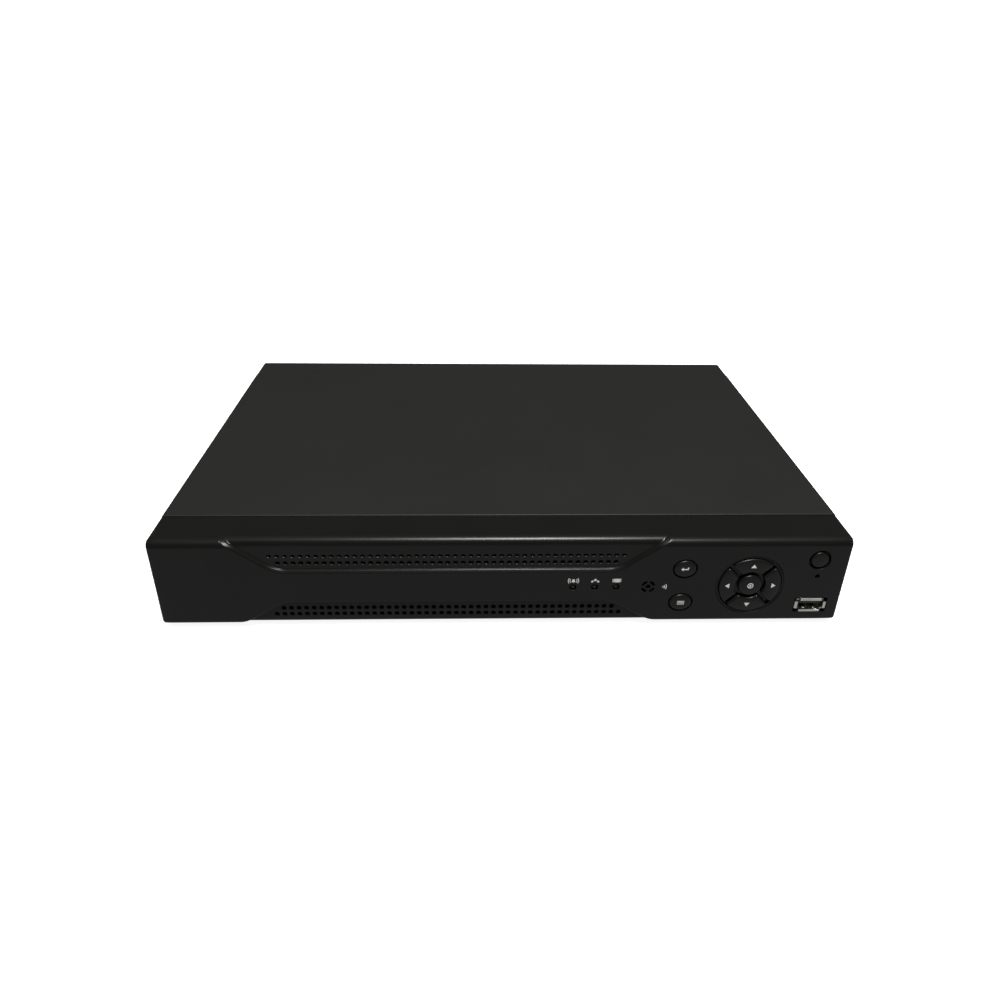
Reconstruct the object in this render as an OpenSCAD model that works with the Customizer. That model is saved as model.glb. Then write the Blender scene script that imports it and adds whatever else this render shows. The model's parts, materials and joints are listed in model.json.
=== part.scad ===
// Desktop video recorder: sheet-steel case, moulded front bezel with sprung keys,
// main board with rear connectors, hard drive and cooling fan.
// Millimetres, +Z up, -Y is the front. The origin is the middle of the footprint, on the table.

/* [Case] */
// Width of the front bezel
case_w = 325; // [322:1:330]
// Depth from the bezel face to the back of the cover
case_d = 235; // [232:1:240]
// Height of the front bezel
bezel_h = 46.4; // [46:0.1:48]
// Depth of the front bezel, from its face to the cover's edge
bezel_d = 22.6; // [22:0.1:23]
// How far the cover stands proud of the bezel's top
cover_proud = 0.6; // [0.4:0.1:0.8]
// Thickness of the sheet steel
sheet = 1; // [0.8:0.1:1]
// Height of the rubber feet
foot_h = 3; // [3:0.5:5]

/* [Front panel] */
// Rounding along the top front edge of the bezel
top_round = 4; // [4:0.5:6]
// Depth of the upper grille's recess
upper_recess = 1.8; // [1.4:0.1:2]
// Depth of the lower grille's recess
lower_recess = 1.5; // [1.2:0.1:1.8]
// Distance between perforations
hole_pitch = 3.56; // [3.5:0.02:3.6]
// Radius of a perforation
hole_r = 1.1; // [0.9:0.05:1.2]
// How far the keys stand out of the bezel
key_proud = 0.6; // [0.4:0.1:0.8]
// Gap round each key
key_gap = 0.4; // [0.3:0.05:0.45]

/* [Rear panel] */
// How far the video jacks stand out of the back
jack_l = 11; // [10:0.5:12]
// Distance between video jacks in a row
jack_pitch = 15; // [14.5:0.5:15]

/* [Hidden] */
$fn = 48;

// Places that everything else is measured from
depth_all = key_proud + case_d + jack_l;
y_face = key_proud - depth_all / 2;
y_back = y_face + case_d;
z_base = foot_h;
z_bezel = z_base + bezel_h;
z_cover = z_bezel + cover_proud;
y_seam = y_face + bezel_d;
y_wall = y_seam + 0.5;
y_panel = y_back - sheet;
y_inside = y_panel - sheet;
floor_z = z_base + sheet;
tray_half = case_w / 2 - 0.5 - sheet - 0.3;
cover_half = case_w / 2 - 0.5;

// Bezel
bezel_wall = 2.4;
grille_wall = 4;
bottom_round = 1.5;
side_round = 2;
grille_x = -26.2;
upper_lip_z = 29.7;
upper_lip_half = 74;
upper_lip_r = 18;
upper_lip_angle = 36;
lower_lip_z = 12.6;
lower_lip_half = 73;
lower_lip_end = 102;
upper_rows = [[37.3, 47], [33.7, 45]];
lower_rows = [[8.1, 45], [4.6, 47]];
boss_r = 2.75;
bezel_screw_spots = [[-156.5, 41], [-156.5, 6], [156.5, 41], [97.5, 5.5]];
board_boss_spots = [[24.5, 19], [98, 39.5], [134.5, 5.5], [136.5, 39.5]];

// Keys and lamps, as distances from the middle of the bezel and from its bottom
pad = [117, 21.1];
pad_dish_r = 16.4;
pad_dish = 0.5;
pad_hole_r = 15.3;
pad_ring_r = 7.4;
pad_web = 1.6;
pad_key_r = 10.6;
enter_hole_r = 5.9;
esc_spot = [84.8, 30.6];
function_spot = [84.8, 11.4];
oval_w = 11.8;
oval_h = 10.2;
power_spot = [148, 35.1];
power_hole_r = 5.1;
key_flange = 1.1;
key_post_r = 1.7;
switch_spots = [esc_spot, function_spot, power_spot, pad, pad + [0, pad_key_r], pad - [0, pad_key_r],
    pad + [pad_key_r, 0], pad - [pad_key_r, 0]];
lamp_spots = [[32.6, 20.3], [42.9, 20.3], [53.1, 20.3]];
lamp_r = 1.5;
power_lamp_spot = [148.5, 25.9];
infrared_spot = [68.3, 20.5];
usb_spot = [148.3, 9.3];
usb_w = 13.1;
usb_h = 5.7;

// Front board, as distances behind the bezel face
board_t = 1.6;
front_board_y = 12;
switch_h = 3.5;

// Main board
standoff_h = 6;
board_z = floor_z + standoff_h;
board_top = board_z + board_t;
board_back = y_inside - 1;
board_spots = [[-150, 84], [-52, 84], [34, 92], [88, 92.5], [-150, -54], [-52, -54], [38, -42]];

// Rear connectors, as places across the back and heights
jack_x = [for (i = [0:3]) -140 + i * jack_pitch];
jack_z = [board_top + 7.6, board_top + 24];
jack_hole_r = 6.5;
audio_x = [-72, -57];
audio_z = [board_top + 7, board_top + 21];
audio_r = 4.15;
monitor_x = -30;
monitor_z = board_top + 6.4;
monitor_screws = 12.5;
digital_x = -1;
digital_z = board_top + 3;
network_x = 20;
rear_usb_x = 40.5;
rear_usb_z = [1.2, 9.3];
terminal_x = 66;
terminal_pitch = 3.81;
terminal_n = 8;
inlet_x = 90;
inlet_z = board_top + 6;
ground_spot = [101, z_base + 12];
fan_spot = [128, z_base + 21];
fan_size = 40;
fan_t = 10;
fan_screw_half = 16;

// Hard drive, standing on raised pads in the tray
drive_x = 49;
drive_y = y_wall + sheet + 6;
drive_z = floor_z + 3;
drive_w = 101.6;
drive_d = 147;
drive_h = 26.1;
drive_board_t = 1.6;
drive_lid_t = 1.5;
drive_hub = [drive_x + 50.8, drive_y + 54];
drive_pivot = [drive_x + 32, drive_y + 113];
platter_r = 47.5;
platter_z = drive_z + 14;
drive_screw_spots = [for (x = [3.2, 98.4], y = [28.5, 105.3]) [drive_x + x, drive_y + y]];

foot_spots = [for (x = [-138, 138], y = [y_wall + 28, y_panel - 28]) [x, y]];
side_screw_y = [-66, 78];
side_screw_z = z_base + 9;
lip_h = 7;
lip_screw_x = [-118, 0, 118];
lip_screw_z = z_cover - 4.2;
clearance_r = 1.7;

// ---- Shared shapes ----

module rounded_rect(w, h, r) {
    square([w - 2 * r, h], center = true);
    square([w, h - 2 * r], center = true);
    for (x = [-1, 1], y = [-1, 1]) translate([x * (w / 2 - r), y * (h / 2 - r)]) circle(r);
}

// Extrudes an outline drawn in x and z backwards from y
module along_y(y, length) {
    translate([0, y + length, 0]) rotate([90, 0, 0]) linear_extrude(length) children();
}

// Extrudes an outline drawn in y and z across the case from x
module along_x(x, length) {
    translate([x, 0, 0]) rotate([90, 0, 90]) linear_extrude(length) children();
}

// A place on the bezel: spot is [x, height above the bezel's bottom], back is behind the face
module on_face(spot, back) {
    translate([spot[0], y_face + back, z_base + spot[1]]) rotate([-90, 0, 0]) children();
}

// A screw whose head stands on z = 0, with a cross in it
module screw(head_r = 2.8, head_h = 1.7, shank_r = 1.45, length = 6) {
    difference() {
        union() {
            cylinder(r = head_r, h = head_h);
            translate([0, 0, -length]) cylinder(r = shank_r, h = length + head_h / 2);
        }
        for (a = [0, 90]) rotate(a)
            translate([-head_r * 0.6, -0.35, head_h - 0.9]) cube([head_r * 1.2, 0.7, 1]);
    }
}

// A flat strip of the given thickness that follows a line of points in its own plane
function turned(a, b) = let (d = b - a) [-d[1], d[0]] / norm(d);
function side_of(path, i, half) =
    let (n1 = turned(path[max(i - 1, 0)], path[max(i, 1)]),
         n2 = turned(path[min(i, len(path) - 2)], path[min(i + 1, len(path) - 1)]),
         m = n1 + n2)
    path[i] + m * (2 * half / (m * m));
module strip(path, thickness) {
    last = len(path) - 1;
    polygon(concat([for (i = [0:last]) side_of(path, i, thickness / 2)],
                   [for (i = [last:-1:0]) side_of(path, i, -thickness / 2)]));
}

// ---- Case ----

module floor_pad(spot, height) {
    translate([spot[0], spot[1], z_base]) cylinder(r = 6.5, h = sheet + height);
}

module floor_pocket(spot, height) {
    translate([spot[0], spot[1], z_base - 1]) cylinder(r = 4.6, h = height + 1);
    translate([spot[0], spot[1], z_base]) cylinder(r = 1.9, h = 10);
}

module panel_cut(x, z, w, h) {
    translate([x - w / 2, y_inside - 1, z - h / 2]) cube([w, sheet + 2, h]);
}

module panel_hole(x, z, r) {
    translate([x, y_inside - 1, z]) rotate([-90, 0, 0]) cylinder(r = r, h = sheet + 2);
}

module panel_cuts() {
    for (x = jack_x, z = jack_z) panel_hole(x, z, jack_hole_r);
    for (x = audio_x, z = audio_z) panel_hole(x, z, 5.6);
    panel_cut(monitor_x, monitor_z, 18, 9.6);
    for (s = [-1, 1]) panel_hole(monitor_x + s * monitor_screws, monitor_z, 1.7);
    panel_cut(digital_x, digital_z, 15.6, 6.2);
    panel_cut(network_x, board_top + 6.9, 16.6, 14.4);
    panel_cut(rear_usb_x, board_top + 8, 15.2, 16.6);
    panel_cut(terminal_x, board_top + 4.2, terminal_n * terminal_pitch + 1.2, 9);
    panel_cut(inlet_x, inlet_z, 9.8, 12.4);
    panel_hole(ground_spot[0], ground_spot[1], 1.9);
    for (x = [-1, 1], z = [-1, 1])
        panel_hole(fan_spot[0] + x * fan_screw_half, fan_spot[1] + z * fan_screw_half, clearance_r);
    vent_pitch = 4.4;
    for (i = [-3:3], j = [-3:3])
        if (norm([i, j]) * vent_pitch < 17)
            panel_hole(fan_spot[0] + i * vent_pitch, fan_spot[1] + j * vent_pitch, 1.7);
}

module base_tray() {
    flange_w = 8;
    side_h = 16;
    wall_top = 44;
    back_top = z_cover - sheet - 0.6;
    color("silver") difference() {
        union() {
            translate([-tray_half, y_wall, z_base]) cube([2 * tray_half, y_panel - y_wall, sheet]);
            translate([-tray_half, y_wall, z_base]) cube([2 * tray_half, sheet, wall_top]);
            translate([-tray_half, y_inside, z_base]) cube([2 * tray_half, sheet, back_top - z_base]);
            translate([-tray_half, y_panel - flange_w, back_top - sheet])
                cube([2 * tray_half, flange_w, sheet]);
            for (x = [-tray_half, tray_half - sheet])
                translate([x, y_wall, z_base]) cube([sheet, y_panel - y_wall, side_h]);
            for (spot = drive_screw_spots) floor_pad(spot, drive_z - floor_z);
            for (spot = board_spots)
                translate([spot[0], spot[1], z_base]) cylinder(r = 3, h = sheet + standoff_h);
        }
        for (spot = drive_screw_spots) floor_pocket(spot, drive_z - floor_z);
        for (spot = board_spots) translate([spot[0], spot[1], z_base - 1]) cylinder(r = 1.5, h = 12);
        for (spot = foot_spots) translate([spot[0], spot[1], z_base - 1]) cylinder(r = 1.5, h = 4);
        for (spot = bezel_screw_spots)
            on_face(spot, bezel_d - 1) cylinder(r = clearance_r, h = 4);
        // Openings in the front wall for air and for the ribbon cable
        for (i = [-7:4]) along_y(y_wall - 1, 4) translate([i * 18, z_base + 34]) rounded_rect(14, 7, 3);
        along_y(y_wall - 1, 4) translate([35, z_base + 19]) rounded_rect(30, 14, 2);
        // Floor vents under the drive and beside the board
        for (i = [0:7], x = [80, 120])
            translate([x, drive_y + 32 + i * 9, z_base - 1]) linear_extrude(3) rounded_rect(26, 3, 1.4);
        for (x = [-tray_half - 1, tray_half - 3], y = side_screw_y)
            translate([x, y, side_screw_z]) rotate([0, 90, 0]) cylinder(r = 1.5, h = 4);
        for (x = lip_screw_x) panel_hole(x, lip_screw_z, 1.5);
        panel_cuts();
    }
}

module cover_outline(half, top, r) {
    polygon([[-half, z_base + 0.2], [half, z_base + 0.2], [half, top - r], [-half, top - r]]);
    polygon([[r - half, top - r], [half - r, top - r], [half - r, top], [r - half, top]]);
    for (s = [-1, 1]) translate([s * (half - r), top - r]) circle(r);
}

module top_cover() {
    bend_r = 1.6;
    joggle = 0.35;
    joggle_y = y_back - 22;
    color("#2b2b29") difference() {
        along_y(y_seam, y_back - y_seam) cover_outline(cover_half, z_cover, bend_r);
        // The back strip is pressed down a little where it laps the rear panel
        translate([-case_w, joggle_y, z_cover - joggle]) cube([2 * case_w, 60, 5]);
        along_y(y_seam - 1, joggle_y - y_seam + 1 + sheet)
            cover_outline(cover_half - sheet, z_cover - sheet, bend_r - sheet);
        along_y(y_seam, y_back - sheet - y_seam)
            cover_outline(cover_half - sheet, z_cover - sheet - joggle, bend_r - sheet);
        translate([-cover_half - 1, y_seam - 1, z_base - 1]) cube([2 * case_w, case_d, 1.2]);
        translate([sheet - cover_half, y_back - 3, z_base - 1])
            cube([2 * (cover_half - sheet), 6, z_cover - lip_h - z_base + 1]);
        // Side vents
        for (i = [0:15], j = [0, 1])
            along_x(-case_w, 2 * case_w)
                translate([-52 + i * 7, z_base + 20 + j * 13]) rounded_rect(3, 10, 1.4);
        for (y = side_screw_y)
            along_x(-case_w, 2 * case_w) translate([y, side_screw_z]) circle(clearance_r);
        for (x = lip_screw_x)
            translate([x, y_back - 3, lip_screw_z]) rotate([-90, 0, 0]) cylinder(r = clearance_r, h = 6);
    }
}

// Side view of the bezel, as distance behind its face and height above its bottom
module bezel_profile(back = 0) {
    difference() {
        translate([back, 0]) square([bezel_d - back, bezel_h]);
        difference() {
            translate([back - 1, bezel_h - top_round]) square([top_round + 1, top_round + 1]);
            translate([back + top_round, bezel_h - top_round]) circle(top_round);
        }
        difference() {
            translate([back - 1, -1]) square([bottom_round + 1, bottom_round + 1]);
            translate([back + bottom_round, bottom_round]) circle(bottom_round);
        }
    }
}

module bezel_bar(back = 0) {
    translate([0, y_face, z_base]) along_x(-case_w / 2, case_w) bezel_profile(back);
}

// The upper recess: a flat lip that sweeps up to the top edge at both ends
function upper_lip_side() = concat(
    [for (a = [0:4:upper_lip_angle])
        [upper_lip_half + upper_lip_r * sin(a), upper_lip_z + upper_lip_r * (1 - cos(a))]],
    [let (z = upper_lip_z + upper_lip_r * (1 - cos(upper_lip_angle)), top = bezel_h + 4)
        [upper_lip_half + upper_lip_r * sin(upper_lip_angle) + (top - z) / tan(upper_lip_angle), top]]);

// The lower recess: a flat lip that falls in an S-curve to the bottom edge at both ends
function s_curve(t) = t * t * (3 - 2 * t);
function lower_lip_side() = concat(
    [for (t = [0:0.1:1])
        [lower_lip_half + (lower_lip_end - lower_lip_half) * t, lower_lip_z * (1 - s_curve(t))]],
    [[lower_lip_end, -4]]);

module recess_area(side) {
    n = len(side);
    translate([grille_x, 0]) polygon(concat(side, [for (i = [n - 1:-1:0]) [-side[i][0], side[i][1]]]));
}

module recess_cut(side, depth) {
    difference() {
        translate([0, 0, z_base]) along_y(y_face - 1, top_round + depth + 2) recess_area(side);
        bezel_bar(depth);
    }
}

module perforations(rows) {
    for (row = rows, i = [0:row[1] - 1])
        on_face([grille_x + (i - (row[1] - 1) / 2) * hole_pitch, row[0]], -1)
            cylinder(r = hole_r, h = 8, $fn = 24);
}

module oval(w, h) {
    polygon([for (a = [0:7.5:352.5]) [w / 2 * cos(a), h / 2 * sin(a)]]);
}

// One quarter of the direction pad, pointing up, between radii a and b
module pad_quarter(a, b, web) {
    apex = web / sqrt(2);
    intersection() {
        difference() {
            circle(b);
            circle(a);
        }
        polygon([[0, apex], [b * 2, b * 2 + apex], [-b * 2, b * 2 + apex]]);
    }
}

module key_holes() {
    on_face(pad, -1) cylinder(r = pad_dish_r, h = 1 + pad_dish);
    for (a = [0:90:270])
        on_face(pad, -1) linear_extrude(8) rotate(a) pad_quarter(pad_ring_r, pad_hole_r, pad_web);
    on_face(pad, -1) cylinder(r = enter_hole_r, h = 8);
    for (spot = [esc_spot, function_spot]) on_face(spot, -1) linear_extrude(8) oval(oval_w, oval_h);
    on_face(power_spot, -1) cylinder(r = power_hole_r, h = 8);
}

module lamp_holes() {
    for (spot = lamp_spots) on_face(spot, -1) cylinder(r = lamp_r + 0.1, h = 8);
    on_face(power_lamp_spot, -1) cylinder(r = 1.1, h = 8);
    // Small round grille in front of the infrared receiver
    on_face(infrared_spot, -1) cylinder(r = 1.1, h = 8);
    for (a = [45:90:315]) on_face(infrared_spot, -1) linear_extrude(8) rotate(a) intersection() {
        difference() {
            circle(3.4);
            circle(2.1);
        }
        polygon([[0, 0], [6, 3.6], [6, -3.6]]);
    }
    on_face(usb_spot, -1) linear_extrude(8) rounded_rect(usb_w + 2.9, usb_h + 2.7, 0.6);
}

module bezel_cavity() {
    x_in = case_w / 2 - bezel_wall;
    z_in = z_base + bezel_wall;
    h_in = bezel_h - 2 * bezel_wall;
    translate([-x_in, y_face + grille_wall, z_in]) cube([2 * x_in, bezel_d, h_in]);
    // The wall is thinner at both ends, where there is no recess
    for (x = [[-x_in, -137], [76, x_in]])
        translate([x[0], y_face + bezel_wall, z_in]) cube([x[1] - x[0], bezel_d, h_in - top_round / 2]);
}

module front_bezel() {
    tongue_l = 3;
    color("#1e1e1e") difference() {
        union() {
            difference() {
                intersection() {
                    bezel_bar();
                    translate([0, y_face + bezel_d / 2 + 10, z_base - 1]) linear_extrude(bezel_h + 2)
                        rounded_rect(case_w, bezel_d + 20, side_round);
                }
                recess_cut(upper_lip_side(), upper_recess);
                recess_cut(lower_lip_side(), lower_recess);
                bezel_cavity();
            }
            // Tongue that the cover laps over
            translate([8 - case_w / 2, y_seam - 4, z_bezel - bezel_wall])
                cube([case_w - 16, 4 + tongue_l, bezel_wall - 0.6]);
            // Screw bosses, from inside the front wall to the tray and to the front board
            for (spot = bezel_screw_spots)
                on_face(spot, bezel_wall - 0.5) cylinder(r = boss_r, h = bezel_d + 1 - bezel_wall);
            for (spot = board_boss_spots)
                on_face(spot, bezel_wall - 0.5) cylinder(r = 2.5, h = front_board_y + 0.5 - bezel_wall);
        }
        perforations(upper_rows);
        perforations(lower_rows);
        key_holes();
        lamp_holes();
        for (spot = bezel_screw_spots) on_face(spot, 8) cylinder(r = 1.25, h = 20);
        for (spot = board_boss_spots) on_face(spot, 5) cylinder(r = 1.25, h = 10);
    }
}

module case_screws() {
    color("#202020") {
        for (s = [-1, 1], y = side_screw_y)
            translate([s * cover_half, y, side_screw_z]) rotate([0, s * 90, 0]) screw();
        for (x = lip_screw_x) translate([x, y_back, lip_screw_z]) rotate([-90, 0, 0]) screw(length = 5);
        for (x = [-1, 1], z = [-1, 1])
            translate([fan_spot[0] + x * fan_screw_half, y_panel, fan_spot[1] + z * fan_screw_half])
                rotate([-90, 0, 0]) screw(length = 8);
    }
}

module bezel_screws() {
    color("silver") for (spot = bezel_screw_spots)
        on_face(spot, bezel_d + 0.5 + sheet) screw(shank_r = 1.2, length = 9);
}

module rubber_feet() {
    color("#151515") for (spot = foot_spots) translate([spot[0], spot[1], 0]) difference() {
        cylinder(r1 = 6.4, r2 = 7, h = foot_h);
        translate([0, 0, -1]) cylinder(r = 1.7, h = foot_h + 2);
        translate([0, 0, -1]) cylinder(r = 3.2, h = 2.8);
    }
}

module foot_screws() {
    color("silver") for (spot = foot_spots)
        translate([spot[0], spot[1], 1.8]) mirror([0, 0, 1]) screw(length = 4.5, head_h = 1.4);
}

// ---- Main board ----

module main_board() {
    color("#1d5a33") difference() {
        translate([0, 0, board_z]) linear_extrude(board_t)
            polygon([[-156, -60], [44, -60], [44, 62], [97, 62], [97, board_back], [-156, board_back]]);
        for (spot = board_spots)
            translate([spot[0], spot[1], board_z - 1]) cylinder(r = clearance_r, h = 4);
    }
}

module board_screws() {
    color("silver") {
        for (spot = board_spots) translate([spot[0], spot[1], board_top]) screw(length = 6);
        for (spot = board_boss_spots)
            on_face(spot, front_board_y + board_t) screw(shank_r = 1.2, length = 7);
    }
}

module chip(x, y, w, d, h) {
    translate([x - w / 2, y - d / 2, board_top]) cube([w, d, h]);
}

processor_spot = [-40, 22];
processor_h = 2;

module board_chips() {
    color("#222222") {
        chip(processor_spot[0], processor_spot[1], 27, 27, processor_h);
        for (x = [-84, -68], y = [12, 30]) chip(x, y, 12, 14, 1.2);
        for (x = [-134, -117, -100]) chip(x, 72, 12, 12, 1.4);
        for (y = [-36, -22]) chip(-110, y, 8, 6, 1.6);
        chip(20, 76, 15, 12, 5.6);
        chip(-10, 76, 10, 8, 1.2);
        chip(20, 10, 12, 12, 1.4);
        for (i = [0:2]) chip(-22 + i * 17, -12, 9, 9, 4);
    }
}

module chip_heatsink() {
    size = 38;
    base_h = 3;
    fin_h = 11;
    fin_t = 1.4;
    fins = 9;
    corner = processor_spot - [size / 2, size / 2];
    color("gainsboro") translate([corner[0], corner[1], board_top + processor_h]) {
        cube([size, size, base_h]);
        for (i = [0:fins - 1])
            translate([i * (size - fin_t) / (fins - 1), 0, base_h - 0.5]) cube([fin_t, size, fin_h]);
    }
}

module board_capacitors() {
    spots = [for (i = [0:3]) [80 - i * 11, 86], for (i = [0:2]) [-128 + i * 12, 46], [30, -30], [30, -18]];
    color("#30506e") for (spot = spots) translate([spot[0], spot[1], board_top]) difference() {
        cylinder(r = 4, h = 10);
        // Scored top
        for (a = [0, 90]) rotate(a) translate([-3, -0.2, 9.6]) cube([6, 0.4, 1]);
    }
}

cell_spot = [2, -38];

module coin_cell() {
    color("silver") translate([cell_spot[0], cell_spot[1], board_top + 1.2]) {
        cylinder(r = 10, h = 2.4);
        cylinder(r = 8.8, h = 3.2);
    }
}

module coin_cell_holder() {
    color("#262626") translate([cell_spot[0], cell_spot[1], board_top]) difference() {
        cylinder(r = 12, h = 4.2);
        translate([0, 0, 1.2]) cylinder(r = 10.2, h = 5);
        translate([-20, 6, 1.2]) cube([40, 20, 5]);
    }
}

module buzzer() {
    color("#161616") translate([-84, -40, board_top]) difference() {
        cylinder(r = 6, h = 8.5);
        translate([0, 0, 4]) cylinder(r = 1, h = 5);
    }
}

// ---- Rear connectors ----

module rear_block(x, w, z0, z1, depth) {
    translate([x - w / 2, y_inside - depth, z0]) cube([w, depth, z1 - z0]);
}

module video_jack_block() {
    mid = (jack_x[0] + jack_x[3]) / 2;
    color("#1a1a1a") difference() {
        rear_block(mid, 3 * jack_pitch + 15, board_top, board_top + 32, 14);
        // Grooves between the moulded columns
        for (i = [0:2])
            translate([jack_x[i] + jack_pitch / 2 - 0.5, y_inside - 15, board_top + 3]) cube([1, 12, 40]);
    }
}

module at_jacks() {
    for (x = jack_x, z = jack_z) translate([x, y_inside, z]) rotate([-90, 0, 0]) children();
}

jack_total = y_back + jack_l - y_inside;

module video_jack_barrels() {
    flange_h = 4.2;
    color("silver") at_jacks() {
        difference() {
            union() {
                cylinder(r = 6.2, h = flange_h);
                cylinder(r = 4.8, h = jack_total);
                // Bayonet lugs
                translate([-5.9, 0, jack_total - 5]) rotate([0, 90, 0]) cylinder(r = 1, h = 11.8);
            }
            translate([0, 0, -1]) cylinder(r = 4.1, h = jack_total + 2);
        }
        // Centre contact
        difference() {
            translate([0, 0, 0.9]) cylinder(r = 1.05, h = jack_total - 5.1);
            translate([0, 0, 3]) cylinder(r = 0.6, h = jack_total);
        }
    }
}

module video_jack_insulators() {
    color("white") at_jacks() difference() {
        union() {
            cylinder(r = 4.05, h = 3.5);
            cylinder(r = 2.4, h = jack_total - 3.5);
        }
        translate([0, 0, 0.9]) cylinder(r = 1.1, h = jack_total);
    }
}

module audio_jack_block() {
    color("#1a1a1a") difference() {
        rear_block((audio_x[0] + audio_x[1]) / 2, 29, board_top, board_top + 28, 12);
        translate([(audio_x[0] + audio_x[1]) / 2 - 0.5, y_inside - 13, board_top + 3]) cube([1, 10, 40]);
    }
}

module at_audio_jacks() {
    for (x = audio_x, z = audio_z) translate([x, y_inside, z]) rotate([-90, 0, 0]) children();
}

audio_base = y_back - y_inside;
audio_l = 9;

module audio_jack_barrels() {
    color("gold") at_audio_jacks() difference() {
        union() {
            cylinder(r = 5.2, h = audio_base);
            cylinder(r = audio_r, h = audio_base + audio_l);
        }
        translate([0, 0, 0.5]) cylinder(r = 3.4, h = 20);
    }
}

module audio_jack_insulators() {
    color("#b83030") at_audio_jacks() difference() {
        translate([0, 0, 0.5]) cylinder(r = 3.35, h = audio_base + audio_l - 1);
        translate([0, 0, 2]) cylinder(r = 1.65, h = 20);
    }
}

// The flared outline of a monitor socket, wider at its top
module d_outline(grow) {
    top = 8 + grow;
    bottom = 6.6 + grow;
    h = 3.9 + grow;
    polygon([[-top, h], [top, h], [bottom, -h], [-bottom, -h]]);
}

monitor_shell_l = 6;

module monitor_port_shell() {
    color("silver") translate([monitor_x, 0, monitor_z]) {
        difference() {
            along_y(y_panel, 0.8) rounded_rect(31, 12.4, 1.5);
            along_y(y_panel - 1, 4) d_outline(-0.1);
            for (s = [-1, 1]) along_y(y_panel - 1, 4) translate([s * monitor_screws, 0]) circle(1.6);
        }
        difference() {
            along_y(y_inside - 6, 6 + 2 * sheet + monitor_shell_l) d_outline(0.4);
            along_y(y_inside - 7, 30) d_outline(0);
        }
    }
}

module monitor_port_insert() {
    color("#28407a") {
        // Moulded body behind the panel, with a clear hole for each jackscrew's shank
        difference() {
            rear_block(monitor_x, 31, board_top, board_top + 12.6, 9);
            translate([monitor_x, 0, monitor_z]) along_y(y_inside - 6, 10) d_outline(0.5);
            for (s = [-1, 1])
                translate([monitor_x + s * monitor_screws, y_inside - 7, monitor_z]) rotate([-90, 0, 0])
                    cylinder(r = 1.8, h = 10);
        }
        translate([monitor_x, 0, monitor_z]) difference() {
            along_y(y_inside - 6.5, 5.5 + sheet + monitor_shell_l) d_outline(-0.1);
            for (row = [-1:1], i = [-2:2])
                translate([i * 2.3 + row * 0.6, y_panel, row * 2]) rotate([-90, 0, 0])
                    cylinder(r = 0.5, h = 10, $fn = 16);
        }
    }
}

jackscrew_l = 5;

module monitor_port_jackscrews() {
    color("silver") for (s = [-1, 1])
        translate([monitor_x + s * monitor_screws, y_panel + 0.8, monitor_z]) rotate([-90, 0, 0])
            difference() {
                union() {
                    cylinder(r = 2.7, h = jackscrew_l, $fn = 6);
                    translate([0, 0, -6]) cylinder(r = 1.45, h = 7);
                }
                translate([0, 0, 1]) cylinder(r = 1.42, h = 10);
            }
}

// Outline of the digital video socket, narrower at its bottom
module socket_outline(w, h) {
    side = [[w / 2, h / 2], [w / 2, -h / 6], [w / 2 - 1.8, -h / 2]];
    polygon(concat(side, [for (i = [2:-1:0]) [-side[i][0], side[i][1]]]));
}

module digital_port_shell() {
    color("silver") translate([digital_x, 0, digital_z]) difference() {
        along_y(y_inside - 10, 11 + 2 * sheet) socket_outline(15, 5.6);
        along_y(y_inside - 9, 30) socket_outline(14, 4.7);
    }
}

module digital_port_tongue() {
    color("#141414") translate([digital_x - 5.6, y_inside - 9, digital_z - 0.1]) cube([11.2, 9, 1]);
}

module network_port() {
    socket_w = 11.8;
    socket_h = 7.2;
    color("silver") difference() {
        translate([network_x - 8, y_inside - 14, board_top]) cube([16, 14 + 2 * sheet + 0.6, 13.6]);
        translate([network_x - socket_w / 2, y_inside - 12, board_top + 3.4])
            cube([socket_w, 30, socket_h]);
        // Latch slot above the socket
        translate([network_x - 3.2, y_inside - 12, board_top + 3]) cube([6.4, 30, socket_h + 2.4]);
    }
}

module rear_usb_shell() {
    color("silver") difference() {
        translate([rear_usb_x - 7.3, y_inside - 14, board_top]) cube([14.6, 14 + 2 * sheet + 0.6, 15.9]);
        for (z = rear_usb_z)
            translate([rear_usb_x - 6.3, y_inside - 12, board_top + z]) cube([12.6, 30, 5.4]);
    }
}

module rear_usb_tongues() {
    color("#e8e8e4") for (z = rear_usb_z)
        translate([rear_usb_x - 5.6, y_inside - 12, board_top + z + 3.1]) cube([11.2, 12 + sheet, 1.9]);
}

terminal_out = 3;
terminal_x_each = [for (i = [0:terminal_n - 1]) terminal_x + (i - (terminal_n - 1) / 2) * terminal_pitch];

module terminal_block() {
    w = terminal_n * terminal_pitch;
    color("#2c7a3c") difference() {
        translate([terminal_x - w / 2, y_inside - 9, board_top])
            cube([w, 9 + 2 * sheet + terminal_out, 8.4]);
        for (x = terminal_x_each) {
            translate([x - 1.3, y_back, board_top + 1.8]) cube([2.6, 10, 2.6]);
            translate([x, y_back + 0.6, board_top + 6.8]) cylinder(r = 1.35, h = 5, $fn = 24);
        }
    }
}

module terminal_screws() {
    color("silver") for (x = terminal_x_each)
        translate([x, y_back + 0.6, board_top + 6.8]) difference() {
            cylinder(r = 1.25, h = 1.1, $fn = 24);
            translate([-2, -0.2, 0.7]) cube([4, 0.4, 1]);
        }
}

module power_inlet() {
    color("#141414") difference() {
        translate([inlet_x - 4.5, y_inside - 12, board_top]) cube([9, 12 + 2 * sheet + 0.5, 11.6]);
        translate([inlet_x, y_inside - 7, inlet_z]) rotate([-90, 0, 0]) cylinder(r = 3.15, h = 20);
        translate([inlet_x, y_inside - 11, inlet_z]) rotate([-90, 0, 0]) cylinder(r = 1.05, h = 20);
    }
}

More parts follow.
